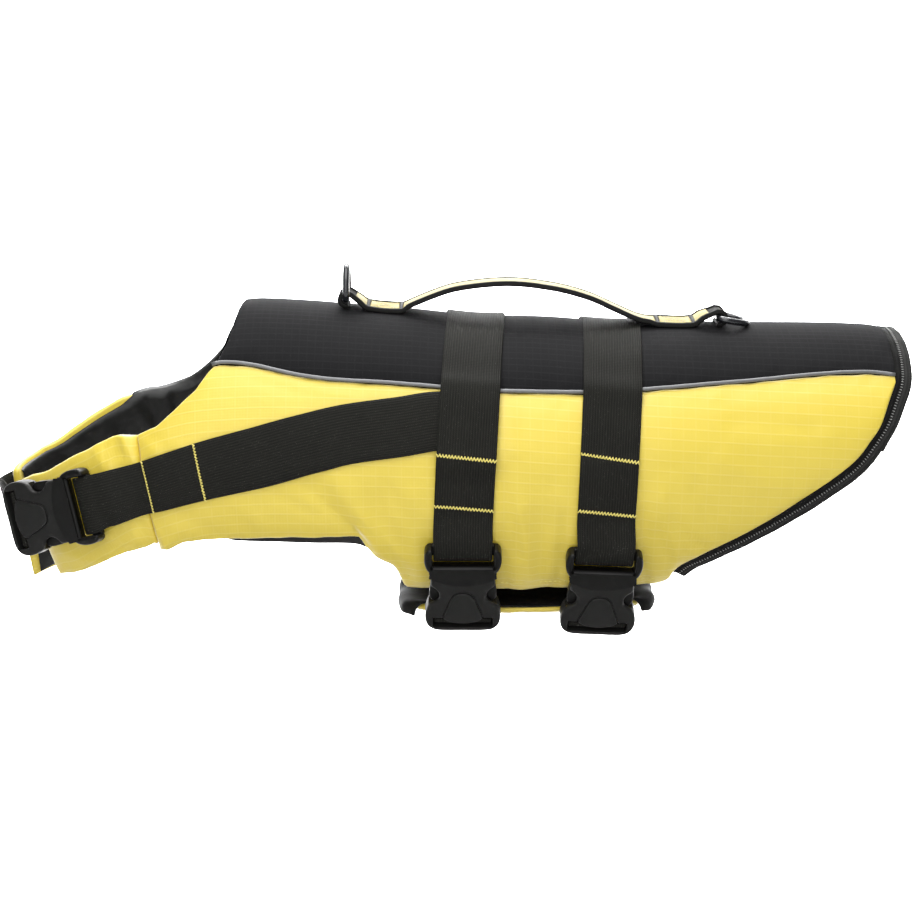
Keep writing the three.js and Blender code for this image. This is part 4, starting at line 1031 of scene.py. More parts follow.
def buildNeckStraps():
    near = walkLine(neckStrapLine[::-1], 6.0)

    def lowNear(along, turn):
        return strapRest + (1 - smoothStep(104, 120, along)) * 5.0

    layStrap(
        "neckNear", "neck_strap_near",
        bandRows(near, strapAcross, lowNear, lambda a, t: lowNear(a, t) + wall["webbing"]),
        buckleRows(chestAxes(), malePath, 1),
    )
    farRows = tuple((along, -turn) for along, turn in neckStrapLine[::-1]) + chestFrontLine
    far = walkLine(farRows, 8.0)

    def lowFar(along, turn):
        return strapRest + 8.6 * (1 - smoothStep(0, 62, along))

    path = ((85, -10, -8), (77, -4.6, -4), (72, -2.2, -1.5)) + femalePath[::-1]
    layStrap(
        "neckFar", "neck_strap_far",
        bandRows(far, strapAcross, lowFar, lambda a, t: lowFar(a, t) + wall["webbing"]),
        buckleRows(chestAxes(), path, -1),
    )


# The belly panel: its section as a share of the half width and a height over the lowest line.
belly = {
    "centre": -11, "half": 78, "step": 3.5, "liningStep": 3.0,
    "rows": (
        (-0.52, 3.6, 4.2, 11), (-0.44, 1.1, 5.8, 4), (-0.32, -0.4, 7, 1), (-0.15, -1.6, 7, 0),
        (0.03, -2, 7, 0), (0.2, -0.6, 7, 0), (0.34, 3.4, 7, 1), (0.46, 9.6, 7, 2),
        (0.56, 17, 7, 3),
    ),
}


def bellyPoint(x, index, depth):
    x = np.asarray(x, float)
    row = formValues(x + bodyForm["straightOffset"])
    rows = belly["rows"]

    def place(k):
        side, rise = rows[k][:2]
        return np.stack([x, side * row["half"], row["base"] + rise], -1)

    before = place(max(index - 1, 0))
    after = place(min(index + 1, len(rows) - 1))
    step = after - before
    inward = unit(np.stack([0 * x, -step[..., 2], step[..., 1]], -1))
    return place(index) + inward * np.asarray(depth, float)[..., None] - origin


def refineGrid(grid, step):
    fine, _ = splineRows(grid, step)
    fine, _ = splineRows(np.swapaxes(fine, 0, 1), step)
    return np.swapaxes(fine, 0, 1)


def sameSize(first, second):
    rows, columns = first.shape[:2]
    second = hermite(np.linspace(0, 1, len(second)), second, np.linspace(0, 1, rows))
    second = np.swapaxes(second, 0, 1)
    second = hermite(np.linspace(0, 1, len(second)), second, np.linspace(0, 1, columns))
    return np.swapaxes(second, 0, 1)


def buildBelly():
    across = np.linspace(-1, 1, 9)
    outer, inner = [], []
    for index, (_, _, depth, inset) in enumerate(belly["rows"]):
        x = belly["centre"] + across * (belly["half"] - inset)
        outer.append(bellyPoint(x, index, 0 * x))
        inner.append(bellyPoint(x, index, 0 * x + depth))
    outer = refineGrid(np.array(outer), belly["step"])
    inner = sameSize(outer, refineGrid(np.array(inner), belly["step"]))
    distance = rimDistance(outer)
    thick = unit(outer - inner)
    places = gridPlaces(outer)
    sink = 1.2 * np.exp(-distance / 5.0) - puckers(distance, places[..., 0], 2.0, 0.25, 6.0)
    piece = wallPiece(
        "belly_panel_cloth", outer - thick * sink[..., None], inner, places, 2.0, yellowRipstop
    )
    finishPadded(piece, "belly_panel")

    ends = ((8.4, 9), (6.6, 3.6), (3, 0.3), (-6, 0))
    top, low = [], []
    for index, (_, _, depth, inset) in enumerate(belly["rows"][:-1]):
        reach = belly["half"] - inset
        columns = [(-reach - past, drop) for past, drop in ends]
        columns += [(-reach / 3, 0), (reach / 3, 0)]
        columns += [(reach + past, drop) for past, drop in ends[::-1]]
        x = belly["centre"] + np.array([column[0] for column in columns])
        drop = np.array([column[1] for column in columns])
        rolled = drop > 3
        low.append(bellyPoint(x, index, depth + 0.3 - drop))
        above = bellyPoint(x, index, depth + 0.3 - drop + np.where(rolled, 2.4, wall["lining"]))
        above[..., 0] += np.where(rolled, np.sign(x - belly["centre"]) * 1.2, 0)
        top.append(above)
    top = refineGrid(np.array(top), belly["liningStep"])
    low = sameSize(top, refineGrid(np.array(low), belly["liningStep"]))
    places = gridPlaces(top)
    soft = 0.8 * np.sin(places[..., 1] / 5.1 + 0.05 * places[..., 0]) * np.exp(
        -rimDistance(top) / 16
    )
    lift = unit(top - low) * soft[..., None]
    piece = wallPiece(
        "belly_lining_cloth", top + lift, low + lift, places, 0.5, bellyLiningPaintedLighter, rimSteps=3
    )
    finishPiece(piece, ["belly_lining"])


bellyRest = 0.4  # the belly straps' gap to the panel


def buildBellyStraps():
    for key, strap in girthStraps.items():
        x = facePoint(strap["low"], strap["buckleTurn"])[0] - strapAcross
        faces = [
            np.array([bellyPoint(x, index, 0 * x - out) for index in range(1, len(belly["rows"]))])
            for out in (bellyRest, bellyRest + wall["webbing"])
        ]
        layStrap(
            "belly" + key, f"belly_strap_{key}",
            buckleRows(bellyAxes(key), femalePath + ((71, -1.9),), -1), faces,
        )


print("straps and belly")
buildGirthStraps()
buildNeckStraps()
buildBelly()
buildBellyStraps()


# Tubes: piping and rings
def tubePiece(name, centres, sideways, outward, radius, sides, closed, material, squash=1.0):
    count = len(centres)
    angle = (np.arange(sides) + 0.5) / sides * 2 * math.pi
    rings = (
        centres[:, None] + sideways[:, None] * (np.cos(angle) * radius)[None, :, None]
        + outward[:, None] * (np.sin(angle) * radius * squash)[None, :, None]
    )
    points = rings.reshape(-1, 3)
    index = np.arange(count * sides).reshape(count, sides)
    here = index if closed else index[:-1]
    there = np.roll(index, -1, axis=0) if closed else index[1:]
    quads = np.stack(
        [here, np.roll(here, -1, axis=1), np.roll(there, -1, axis=1), there], -1
    ).reshape(-1, 4)
    run = runLengths(centres)
    places = crossed(run, angle * radius).reshape(-1, 2)
    if not closed:
        caps = [centres[0], centres[-1]]
        points = np.vstack([points, caps])
        places = np.vstack([places, [[0, 0], [run[-1], 0]]])
        first, last = count * sides, count * sides + 1
        ring = index[0]
        quads = np.vstack([
            quads,
            [[first, first, ring[(k + 1) % sides], ring[k]] for k in range(sides)],
            [[last, last, index[-1][k], index[-1][(k + 1) % sides]] for k in range(sides)],
        ])
    return meshPiece(name, points, quads, places, material)


piping = {"radius": 1.3, "squash": 0.85, "out": 0.75, "end": (615.6, 51.3), "step": 3.0}


def buildPiping():
    for name, side in (("piping_near", 1), ("piping_far", -1)):
        line = walkLine(seamLine[:-1] + (piping["end"],), piping["step"])
        along, turn = line[:, 0], line[:, 1] * side
        wobble = 0.12 * np.sin(along / 7.0) + 0.08 * np.sin(along / 2.7 + 1)
        centres = facePoint(along, turn, piping["out"] + wobble)
        heading = unit(np.gradient(centres, axis=0))
        outward = formSteps(along, turn)[2]
        sideways = unit(np.cross(outward, heading))
        piece = tubePiece(
            name + "_cord", centres, sideways, outward, piping["radius"], 12, False, pipingCloth,
            piping["squash"],
        )
        finishPiece(piece, [name])


# The hem tape, folded over the edge of the tail end. Its section runs from the outer fold to the
# panels: the distance past the panels' edge (negative is outward) and how far its faces stand out.
tape = {
    "thickness": 4.6, "step": 2.2, "ladderColumn": 5,
    "section": (
        (-10.8, -1.9), (-10.4, -0.9), (-9.4, -0.2), (-7.4, 0.05), (-5.6, 0.0), (-4.2, -0.3),
        (-2.0, 0.05), (0.4, 0.3), (1.6, 0.1),
    ),
}
sewing = {}  # the places that buildSewing follows on the tape and the handle


def buildHemTape():
    near = hemLine[:-1]
    rows = near + (hemLine[-1],) + tuple((along, -turn) for along, turn in near[::-1])
    places = walkLine(rows, tape["step"])
    across, bulge = np.array(tape["section"]).T
    ladder = tape["ladderColumn"]
    middle = -wall["foam"] / 2
    half = tape["thickness"] / 2
    run = places[:, 0] + places[:, 1]
    ripplesHigh = 0.14 * np.sin(run / 2.3) + 0.1 * np.sin(run / 5.1 + 1)

    def level(sign):
        def heights(along, turn):
            return middle + sign * half + ripplesHigh * sign
        return heights

    top, under = bandRows(places, across, level(-1), level(1))
    outwardUnit = unit(top - under)
    top = top + outwardUnit * bulge[None, :, None]
    under = under - outwardUnit * bulge[None, :, None]
    spots = crossed(runLengths(top[:, 4]), across)
    piece = wallPiece("hem_tape_cloth", top, under, spots, 0.6, hemBinding, 3)
    finishPiece(piece, ["hem_tape"])
    sewing["tape"] = [
        (top[:, ladder] + outwardUnit[:, ladder] * 0.1, outwardUnit[:, ladder]),
        (under[:, ladder] - outwardUnit[:, ladder] * 0.1, -outwardUnit[:, ladder]),
    ]


print("piping and hem tape")
buildPiping()
buildHemTape()


# The carrying handle and its rings
handle = {
    "side": -6.0, "width": 25.0, "core": 2.4, "binding": 3.6, "bindingHeight": 1.2,
    "frontRing": -131.5, "rearRing": 115.5, "boxes": (-117.5, -95, 75, 98.5),
    "clearance": 1.2, "boxRoll": 5.0, "archRoll": 0.5,
    "arch": (
        (-78, 23.8), (-58, 30.4), (-24, 33.7), (6, 30.4), (28.5, 24.4), (46.5, 16.4), (62, 9.8),
    ),
    "wire": 2.2, "ringWidth": 30.4, "ringHeights": {"front": 22.0, "rear": 20.0},
    "loopGap": 0.4, "loopWall": 3.6, "step": 1.6,
}
loopRadius = handle["wire"] + handle["loopGap"]


def saddleHeight(x, y):
    along = x + bodyForm["straightOffset"]
    half = formValues(np.array(along))["half"]
    turn = math.degrees(math.asin((abs(y) / half) ** (1 / bodyForm["shoulder"])))
    return float(facePoint(along, -math.copysign(turn, y))[2])


def ringCentre(x):
    height = saddleHeight(x, handle["side"]) + 0.5 + loopRadius + handle["loopWall"]
    return np.array([x, handle["side"], height])


def loopPlaces(centre, fromAngle, toAngle, count):
    made = []
    for angle in np.radians(np.linspace(fromAngle, toAngle, count)):
        normal = np.array([math.cos(angle), 0, math.sin(angle)])
        x, _, z = centre + normal * loopRadius
        made.append((x, z, 0.0, normal))
    return made


def handlePlaces():
    front, rear = ringCentre(handle["frontRing"]), ringCentre(handle["rearRing"])

    def onSaddle(x):
        return (x, saddleHeight(x, handle["side"]) + handle["clearance"])

    boxA, boxB, boxC, boxD = [onSaddle(x) for x in handle["boxes"]]
    lift = -origin[2]
    archRows = np.array(
        [(boxB[0], 0, boxB[1])] + [(x, 0, z + lift) for x, z in handle["arch"]]
        + [(boxC[0], 0, boxC[1])], float,
    )
    arch, _ = splineRows(archRows[:, None, :], 6.0)
    arch = arch[:, 0]
    made = loopPlaces(front, 290, 55, 12)
    made.append(((front[0] + boxA[0]) / 2 + 1, (front[2] + boxA[1]) / 2 + 0.6, 2.5, None))
    made.append((boxA[0], boxA[1], handle["boxRoll"], None))
    for k, (x, _, z) in enumerate(arch):
        edge = k in (0, len(arch) - 1)
        made.append((x, z, handle["boxRoll"] if edge else handle["archRoll"], None))
    made.append((boxD[0], boxD[1], handle["boxRoll"], None))
    made.append(((rear[0] + boxD[0]) / 2 - 1.5, (rear[2] + boxD[1]) / 2 + 1.4, 2.5, None))
    return made + loopPlaces(rear, 125, -110, 12)


def handleFrames():
    made = handlePlaces()
    centres, sides, ups = [], [], []
    for index, (x, z, roll, normal) in enumerate(made):
        before = made[max(index - 1, 0)]
        after = made[min(index + 1, len(made) - 1)]
        heading = unit(np.array([after[0] - before[0], 0, after[1] - before[1]]))
        up = np.array([-heading[2], 0, heading[0]]) if normal is None else normal
        angle = math.radians(roll)
        centres.append((x, handle["side"], z))
        sides.append(np.array([0, math.cos(angle), 0]) + up * math.sin(angle))
        ups.append(up * math.cos(angle) + np.array([0, -math.sin(angle), 0]))
    rows = np.stack([np.array(centres), np.array(sides), np.array(ups)], 1)
    lengths = runLengths(rows[:, 0])
    at = np.linspace(0, lengths[-1], int(lengths[-1] / handle["step"]))
    rows = hermite(lengths, rows, at)
    return rows[:, 0], unit(rows[:, 1]), unit(rows[:, 2]), at


def sectionPiece(name, across, topAt, lowAt, material, first=0, last=None, roll=0.5):
    centres, sides, ups, run = (part[first:last] for part in handleFrames())
    across = np.array(across, float)
    rows = centres[:, None] + sides[:, None] * across[None, :, None]
    top = rows + ups[:, None] * np.array(topAt, float)[None, :, None]
    low = rows + ups[:, None] * np.array(lowAt, float)[None, :, None]
    return wallPiece(name, top, low, crossed(run, across), roll, material, 3), top


def buildHandle():
    half = handle["width"] / 2
    rim = half - handle["binding"]
    high = handle["core"] + handle["bindingHeight"]
    across = np.linspace(-rim - 0.6, rim + 0.6, 9)
    core, _ = sectionPiece(
        "handle_strap_core", across, np.full(9, handle["core"]), np.full(9, 0.4), strapWebbing
    )
    finishPiece(core, ["handle_strap"])
    edge = np.linspace(0, 1, 9)
    crown = np.sin(edge * math.pi) ** 0.5
    for side, name in ((-1, "near"), (1, "far")):
        spots = side * (rim - 0.4 + edge * (handle["binding"] + 0.4))
        top = handle["core"] + handle["bindingHeight"] * (0.35 + 0.65 * crown)
        low = 0.45 - 0.45 * crown
        binding, _ = sectionPiece(f"handle_binding_{name}", spots, top, low, bindingTape)
        finishPiece(binding, [])
    face = rim + 0.1
    faceAcross = np.linspace(-face, face, 9)
    puff = 0.35 * (1 - (faceAcross / face) ** 2)
    # The facing takes the darker yellow copy, painted shade against the overhead light.
    facing, sewing["handle"] = sectionPiece(
        "handle_facing_cloth", faceAcross, high - 0.55 + puff, np.full(9, handle["core"] - 0.3),
        handleRipstopPaintedDarker, 9, -9,
    )
    finishPiece(facing, ["handle_facing"])


def ringLine(centre, tilt, height, steps):
    lean = math.radians(tilt)
    reach = np.array([math.sin(lean), 0, math.cos(lean)])
    width = handle["ringWidth"]
    bar = [(y, 0.0) for y in np.linspace(-width / 2 + 3, width / 2 - 3, 9)]
    t = np.linspace(0, math.pi, steps)
    side = np.sign(np.cos(t)) * np.abs(np.cos(t)) ** 0.8
    arc = [(s * width / 2, max(0.5, height * math.sin(a) ** 0.85)) for s, a in zip(side, t)]
    flat = np.array(bar + arc)
    for _ in range(2):
        flat = (np.roll(flat, 1, axis=0) + 2 * flat + np.roll(flat, -1, axis=0)) / 4
    points = centre + flat[:, :1] * np.array([0, 1, 0]) + flat[:, 1:] * reach
    return points, unit(np.cross(np.array([0, 1, 0]), reach))


def buildRings():
    for key, x, tilt in (("front", handle["frontRing"], 0), ("rear", handle["rearRing"], 102)):
        points, plane = ringLine(ringCentre(x), tilt, handle["ringHeights"][key], 26)
        heading = unit(np.roll(points, -1, axis=0) - np.roll(points, 1, axis=0))
        plane = np.broadcast_to(plane, points.shape)
        sideways = unit(np.cross(plane, heading))
        piece = tubePiece(
            f"d_ring_{key}_wire", points, sideways, plane, handle["wire"], 14, True, ringCoat
        )
        finishPiece(piece, [f"d_ring_{key}"], f"{key}_ring")


print("handle and rings")
buildHandle()
buildRings()


# Buckles, drawn in their own axes: u along the webbing, v across it, w outward. Outlines are given
# for one side and mirrored.
buckleForm = {
    "ears": (
        (0.4, 20.6), (0.9, 22.6), (3, 24.3), (7, 25), (12, 24.9), (16.5, 23.8), (19.6, 22),
        (21.2, 20.4),
    ),
    "notch": (16.6, 19.8),
    "joint": (21.2, 5.6, 20.4),  # the curved joint line: ends, rise in the middle, half width
    "gap": 1.2,
    "body": (
        (22.4, 20.4), (25, 20.8), (28.6, 21), (30.8, 20.2), (33, 17.8), (36, 15.9), (39.6, 15.4),
        (42.8, 16.6), (44.8, 19.2), (46.6, 21.9), (50.5, 23.8), (56, 24.9), (61.5, 24.6),
        (66, 22.8), (69, 19), (70, 13), (70, 0),
    ),
    "pad": (
        (36, 0), (36.1, 2.4), (37.2, 5), (40, 7.2), (46, 9.4), (52, 11.6), (56.2, 12.9),
        (58.2, 12.6), (60.4, 9.2), (61.8, 4.8), (62.3, 0),
    ),
    "prong": (
        (20, 14.8), (44.6, 14.8), (45.9, 17), (45.2, 19.6), (43, 21.3), (39.5, 21.9), (33, 21.5),
        (20, 19.6),
    ),
    "slot": (57.6, 66.2, 19.7), "steps": 40, "bevelSteps": 3,
}


def smoothed(half, steps):
    half = np.array(half, float)
    lengths = runLengths(half)
    return hermite(lengths, half, np.linspace(0, lengths[-1], steps))


def jointLine(past, steps):
    start, rise, half = buckleForm["joint"]
    v = np.linspace(half, 0, steps)
    return np.stack([start + past + rise * (1 - (v / half) ** 2), v], -1)


def mirroredHalf(half):
    inner = half[(half[:, 1] > 1e-6)]
    ends = [half[:1]] if half[0, 1] <= 1e-6 else []
    last = [half[-1:]] if half[-1, 1] <= 1e-6 else []
    return np.vstack(ends + [inner] + last + [inner[::-1] * np.array([1, -1])])


# A plate with a rounded rim between two heights
def plate(outline, low, high, rounding):
    curve = bpy.data.curves.new("plate", "CURVE")
    curve.dimensions = "2D"
    curve.fill_mode = "BOTH"
    curve.extrude = max((high - low) / 2 - rounding, 0.01)
    curve.bevel_depth = rounding
    curve.bevel_resolution = buckleForm["bevelSteps"]
    curve.offset = -rounding
    spline = curve.splines.new("POLY")
    spline.points.add(len(outline) - 1)
    for point, (u, v) in zip(spline.points, outline):
        point.co = (u, v, 0, 1)
    spline.use_cyclic_u = True
    holder = bpy.data.objects.new("plate", curve)
    bpy.context.scene.collection.objects.link(holder)
    evaluated = holder.evaluated_get(bpy.context.evaluated_depsgraph_get())
    mesh = bpy.data.meshes.new_from_object(evaluated)
    bpy.data.objects.remove(holder)
    shape = bmesh.new()
    shape.from_mesh(mesh)
    bmesh.ops.remove_doubles(shape, verts=shape.verts, dist=1e-4)
    for vert in shape.verts:
        vert.co.z += (low + high) / 2
    bmesh.ops.recalc_face_normals(shape, faces=shape.faces)
    shape.to_mesh(mesh)
    shape.free()
    return mesh


def boxPlate(u, v, w):
    return plate(np.array([(u[0], v[0]), (u[1], v[0]), (u[1], v[1]), (u[0], v[1])]), *w, 0.01)


def combined(meshes, operation):
    piece = bpy.data.objects.new("joined", meshes[0])
    bpy.context.scene.collection.objects.link(piece)
    helpers = []
    for mesh in meshes[1:]:
        helper = bpy.data.objects.new("helper", mesh)
        bpy.context.scene.collection.objects.link(helper)
        helpers.append(helper)
        join = piece.modifiers.new("join", "BOOLEAN")
        join.operation = operation
        join.solver = "EXACT"
        join.object = helper
    evaluated = piece.evaluated_get(bpy.context.evaluated_depsgraph_get())
    made = bpy.data.meshes.new_from_object(evaluated)
    for used in [piece] + helpers:
        bpy.data.objects.remove(used)
    return made


def maleMesh():
    steps = buckleForm["steps"]
    notchEnd, notchHalf = buckleForm["notch"]
    ear = np.vstack([
        [(notchEnd, 0), (notchEnd, notchHalf - 0.9), (notchEnd - 0.9, notchHalf), (1, notchHalf)],
        smoothed(buckleForm["ears"], steps), jointLine(0, steps // 2)[1:],
    ])
    lens = np.vstack([[(notchEnd + 0.1, 0), (notchEnd + 0.1, 19.4)], jointLine(-0.25, steps // 2)])
    lens[2:, 1] *= 0.97
    bar = smoothed(((0.5, 0), (0.5, 17), (0.8, 20.4), (4, 21.4), (9, 21)), steps)
    bar = np.vstack([bar, [(9, 0)]])
    parts = [
        plate(mirroredHalf(ear), 1.2, 10.8, 1.6), plate(mirroredHalf(lens), 8.6, 12.9, 2.1),
        plate(mirroredHalf(bar), 1.2, 5, 1.2),
    ]
    prong = smoothed(buckleForm["prong"][1:-1], steps)
    prong = np.vstack([buckleForm["prong"][:1], prong, buckleForm["prong"][-1:]])
    parts += [plate(prong, 3.8, 8.4, 0.7), plate((prong * np.array([1, -1]))[::-1], 3.8, 8.4, 0.7)]
    return combined(parts, "UNION")


def femaleMesh():
    steps = buckleForm["steps"]
    rim = smoothed(buckleForm["body"], 2 * steps)
    body = np.vstack([jointLine(buckleForm["gap"], steps // 2)[::-1][:-1], rim])
    pad = mirroredHalf(smoothed(buckleForm["pad"], steps))
    middle = pad.mean(0)
    groove = middle + (pad - middle) * 1.045
    low, high, half = buckleForm["slot"]
    cuts = [plate(mirroredHalf(body), 0, 12, 1.9), plate(groove, 11.1, 14, 0.1)]
    cuts += [boxPlate((low, high), (-half, half), (-1, 13))]
    for side in (1, -1):
        span = (14.2, 27) if side > 0 else (-27, -14.2)
        cuts.append(boxPlate((17, 47.4), span, (3.2, 9)))
    shell = combined(cuts, "DIFFERENCE")
    return combined([shell, plate(pad, 10.6, 12.9, 0.9)], "UNION")


def placeMoulding(name, mesh, axes, node):
    mesh = mesh.copy()
    spots = np.zeros(len(mesh.vertices) * 3)
    mesh.vertices.foreach_get("co", spots)
    spots = spots.reshape(-1, 3)
    points = axes["at"] + spots @ np.array([axes["u"], axes["v"], axes["w"]])
    mesh.vertices.foreach_set("co", (points * mm).ravel())
    mesh.polygons.foreach_set("use_smooth", np.ones(len(mesh.polygons), bool))
    mesh.set_sharp_from_angle(angle=math.radians(35))
    mesh.materials.clear()
    mesh.materials.append(bucklePlastic[node.split("_")[-1]])
    piece = bpy.data.objects.new(name, mesh)
    bpy.context.scene.collection.objects.link(piece)
    finishPiece(piece, [node])


def buildBuckles():
    male, female = maleMesh(), femaleMesh()
    for place, axes in (
        ("chest", chestAxes()), ("belly_front", bellyAxes("front")),
        ("belly_rear", bellyAxes("rear")),
    ):
        for half, mesh in (("male", male), ("female", female)):
            node = f"{place}_buckle_{half}"
            placeMoulding(node + "_moulding", mesh, axes, node)


print("buckles")
buildBuckles()


# Sewing. Geometry Nodes lay a stitch of thread at every step of the lines that are given.
def stitchTree():
    tree = bpy.data.node_groups.new("stitches along lines", "GeometryNodeTree")
    tree.interface.new_socket("Geometry", in_out="INPUT", socket_type="NodeSocketGeometry")
    for name in ("Pitch", "Length", "Width", "Lean", "Turn", "Uneven"):
        tree.interface.new_socket(name, in_out="INPUT", socket_type="NodeSocketFloat")
    tree.interface.new_socket("Thread", in_out="INPUT", socket_type="NodeSocketMaterial")
    tree.interface.new_socket("Geometry", in_out="OUTPUT", socket_type="NodeSocketGeometry")
    given = tree.nodes.new("NodeGroupInput").outputs
    curve = addNode(tree, "GeometryNodeMeshToCurve", {0: given["Geometry"]}).outputs[0]
    even = addNode(
        tree, "GeometryNodeResampleCurve", {"Curve": curve, "Length": given["Pitch"]},
        mode="LENGTH",
    ).outputs[0]
    outward = addNode(
        tree, "GeometryNodeInputNamedAttribute", {"Name": "outward"}, data_type="FLOAT_VECTOR"
    ).outputs["Attribute"]
    tangent = addNode(tree, "GeometryNodeInputTangent").outputs[0]
    upright = addNode(
        tree, "FunctionNodeAlignRotationToVector", {"Vector": outward}, axis="Z"
    ).outputs[0]
    heading = addNode(
        tree, "FunctionNodeAlignRotationToVector", {"Rotation": upright, "Vector": tangent},
        axis="X", pivot_axis="Z",
    ).outputs[0]
    ball = addNode(tree, "GeometryNodeMeshUVSphere", {"Segments": 6, "Rings": 4, "Radius": 0.5})
    size = addNode(
        tree, "ShaderNodeCombineXYZ", {0: given["Length"], 1: given["Width"], 2: given["Width"]}
    ).outputs[0]
    stitch = addNode(tree, "GeometryNodeTransform", {"Geometry": ball.outputs[0], "Scale": size})
    laid = addNode(
        tree, "GeometryNodeInstanceOnPoints",
        {"Points": even, "Instance": stitch.outputs[0], "Rotation": heading},
    ).outputs[0]
    index = addNode(tree, "GeometryNodeInputIndex").outputs[0]
    odd = calc(tree, "MODULO", index, 2.0)
    swing = calc(tree, "SUBTRACT", calc(tree, "MULTIPLY", odd, 2.0), 1.0)
    chance = addNode(
        tree, "FunctionNodeRandomValue", {"Seed": 7, 2: -1.0, 3: 1.0}, data_type="FLOAT"
    ).outputs[1]
    angle = calc(tree, "MULTIPLY", swing, given["Lean"])
    angle = calc(tree, "ADD", angle, given["Turn"])
    angle = calc(tree, "ADD", angle, calc(tree, "MULTIPLY", chance, given["Uneven"]))
    spin = addNode(tree, "ShaderNodeCombineXYZ", {2: angle}).outputs[0]
    turned = addNode(tree, "GeometryNodeRotateInstances", {"Instances": laid, "Rotation": spin})
    solid = addNode(tree, "GeometryNodeRealizeInstances", {0: turned.outputs[0]}).outputs[0]
    smooth = addNode(tree, "GeometryNodeSetShadeSmooth", {"Geometry": solid}).outputs[0]
    thread = addNode(
        tree, "GeometryNodeSetMaterial", {"Geometry": smooth, "Material": given["Thread"]}
    ).outputs[0]
    tree.links.new(thread, tree.nodes.new("NodeGroupOutput").inputs[0])
    return tree


stitches = stitchTree()
stitchLooks = {  # millimetres and degrees
    "zigzag": {"Pitch": 1.0, "Length": 4.0, "Width": 0.95, "Lean": 66, "Turn": 0, "Uneven": 6},
    "ladder": {"Pitch": 1.9, "Length": 2.2, "Width": 0.55, "Lean": 0, "Turn": 90, "Uneven": 8},
    "run": {"Pitch": 3.2, "Length": 2.5, "Width": 0.5, "Lean": 2, "Turn": 0, "Uneven": 3},
    "fineRun": {"Pitch": 2.4, "Length": 1.8, "Width": 0.42, "Lean": 3, "Turn": 0, "Uneven": 4},
}


def sew(name, lines, lookName, thread):
    points, outs, edges = [], [], []
    for line, out in lines:
        start = len(points)
        points += [tuple(point) for point in np.asarray(line) * mm]
        outs += [tuple(vector) for vector in np.broadcast_to(out, np.shape(line))]
        edges += [(start + k, start + k + 1) for k in range(len(line) - 1)]
    mesh = bpy.data.meshes.new(name)
    mesh.from_pydata(points, edges, [])
    outward = mesh.attributes.new("outward", "FLOAT_VECTOR", "POINT")
    outward.data.foreach_set("vector", np.array(outs, np.float32).ravel())
    piece = bpy.data.objects.new(name, mesh)
    bpy.context.scene.collection.objects.link(piece)
    look = stitchLooks[lookName]
    values = {key: look[key] * mm for key in ("Pitch", "Length", "Width")}
    values.update({key: math.radians(look[key]) for key in ("Lean", "Turn", "Uneven")})
    values["Thread"] = thread
    modifier = piece.modifiers.new("stitches", "NODES")
    modifier.node_group = stitches
    for item in stitches.interface.items_tree:
        if item.in_out == "INPUT" and item.name in values:
            modifier[item.identifier] = values[item.name]
    evaluated = piece.evaluated_get(bpy.context.evaluated_depsgraph_get())
    made = bpy.data.meshes.new_from_object(evaluated)
    piece.modifiers.clear()
    piece.data = made
    finishPiece(piece, [])


# A row across a strap through the place nearest to a point; skew leans it along the strap.
def strapRow(key, near, skew=0.0, reach=18.3):
    top, out = strapTops[key]
    index = int(np.argmin(np.linalg.norm(top[:, 4] - near, axis=1)))
    share = np.linspace(-reach, reach, 25) / strapAcross[-1]
    step = np.linalg.norm(top[index, 4] - top[index - 1, 4])
    rows = np.arange(len(top))
    points, outward = [], []
    for s in share:
        at = index + skew * s / step
        points.append(hermite(strapShare, hermite(rows, top, at), s))
        outward.append(hermite(strapShare, hermite(rows, out, at), s))
    outward = unit(np.array(outward))
    return np.array(points) + outward * 0.12, outward


def clothLine(rows, side, level, step=4.0):
    line = walkLine(rows, step)
    along, turn = line[:, 0], line[:, 1] * side
    return facePoint(along, turn, level), formSteps(along, turn)[2]


barTacks = {  # turns on the girth straps, places on the neck straps, and how far a row leans
    "front": {"turns": (85.7, 103.2), "skew": 0.8}, "rear": {"turns": (88.4, 106.7), "skew": 2.2},
    "farTurn": -138, "bellyRows": (4, 7),
    "neck": ((132.5, 89.6), (166.7, 89.0)), "neckSkew": 2.6, "out": 3.0,
}


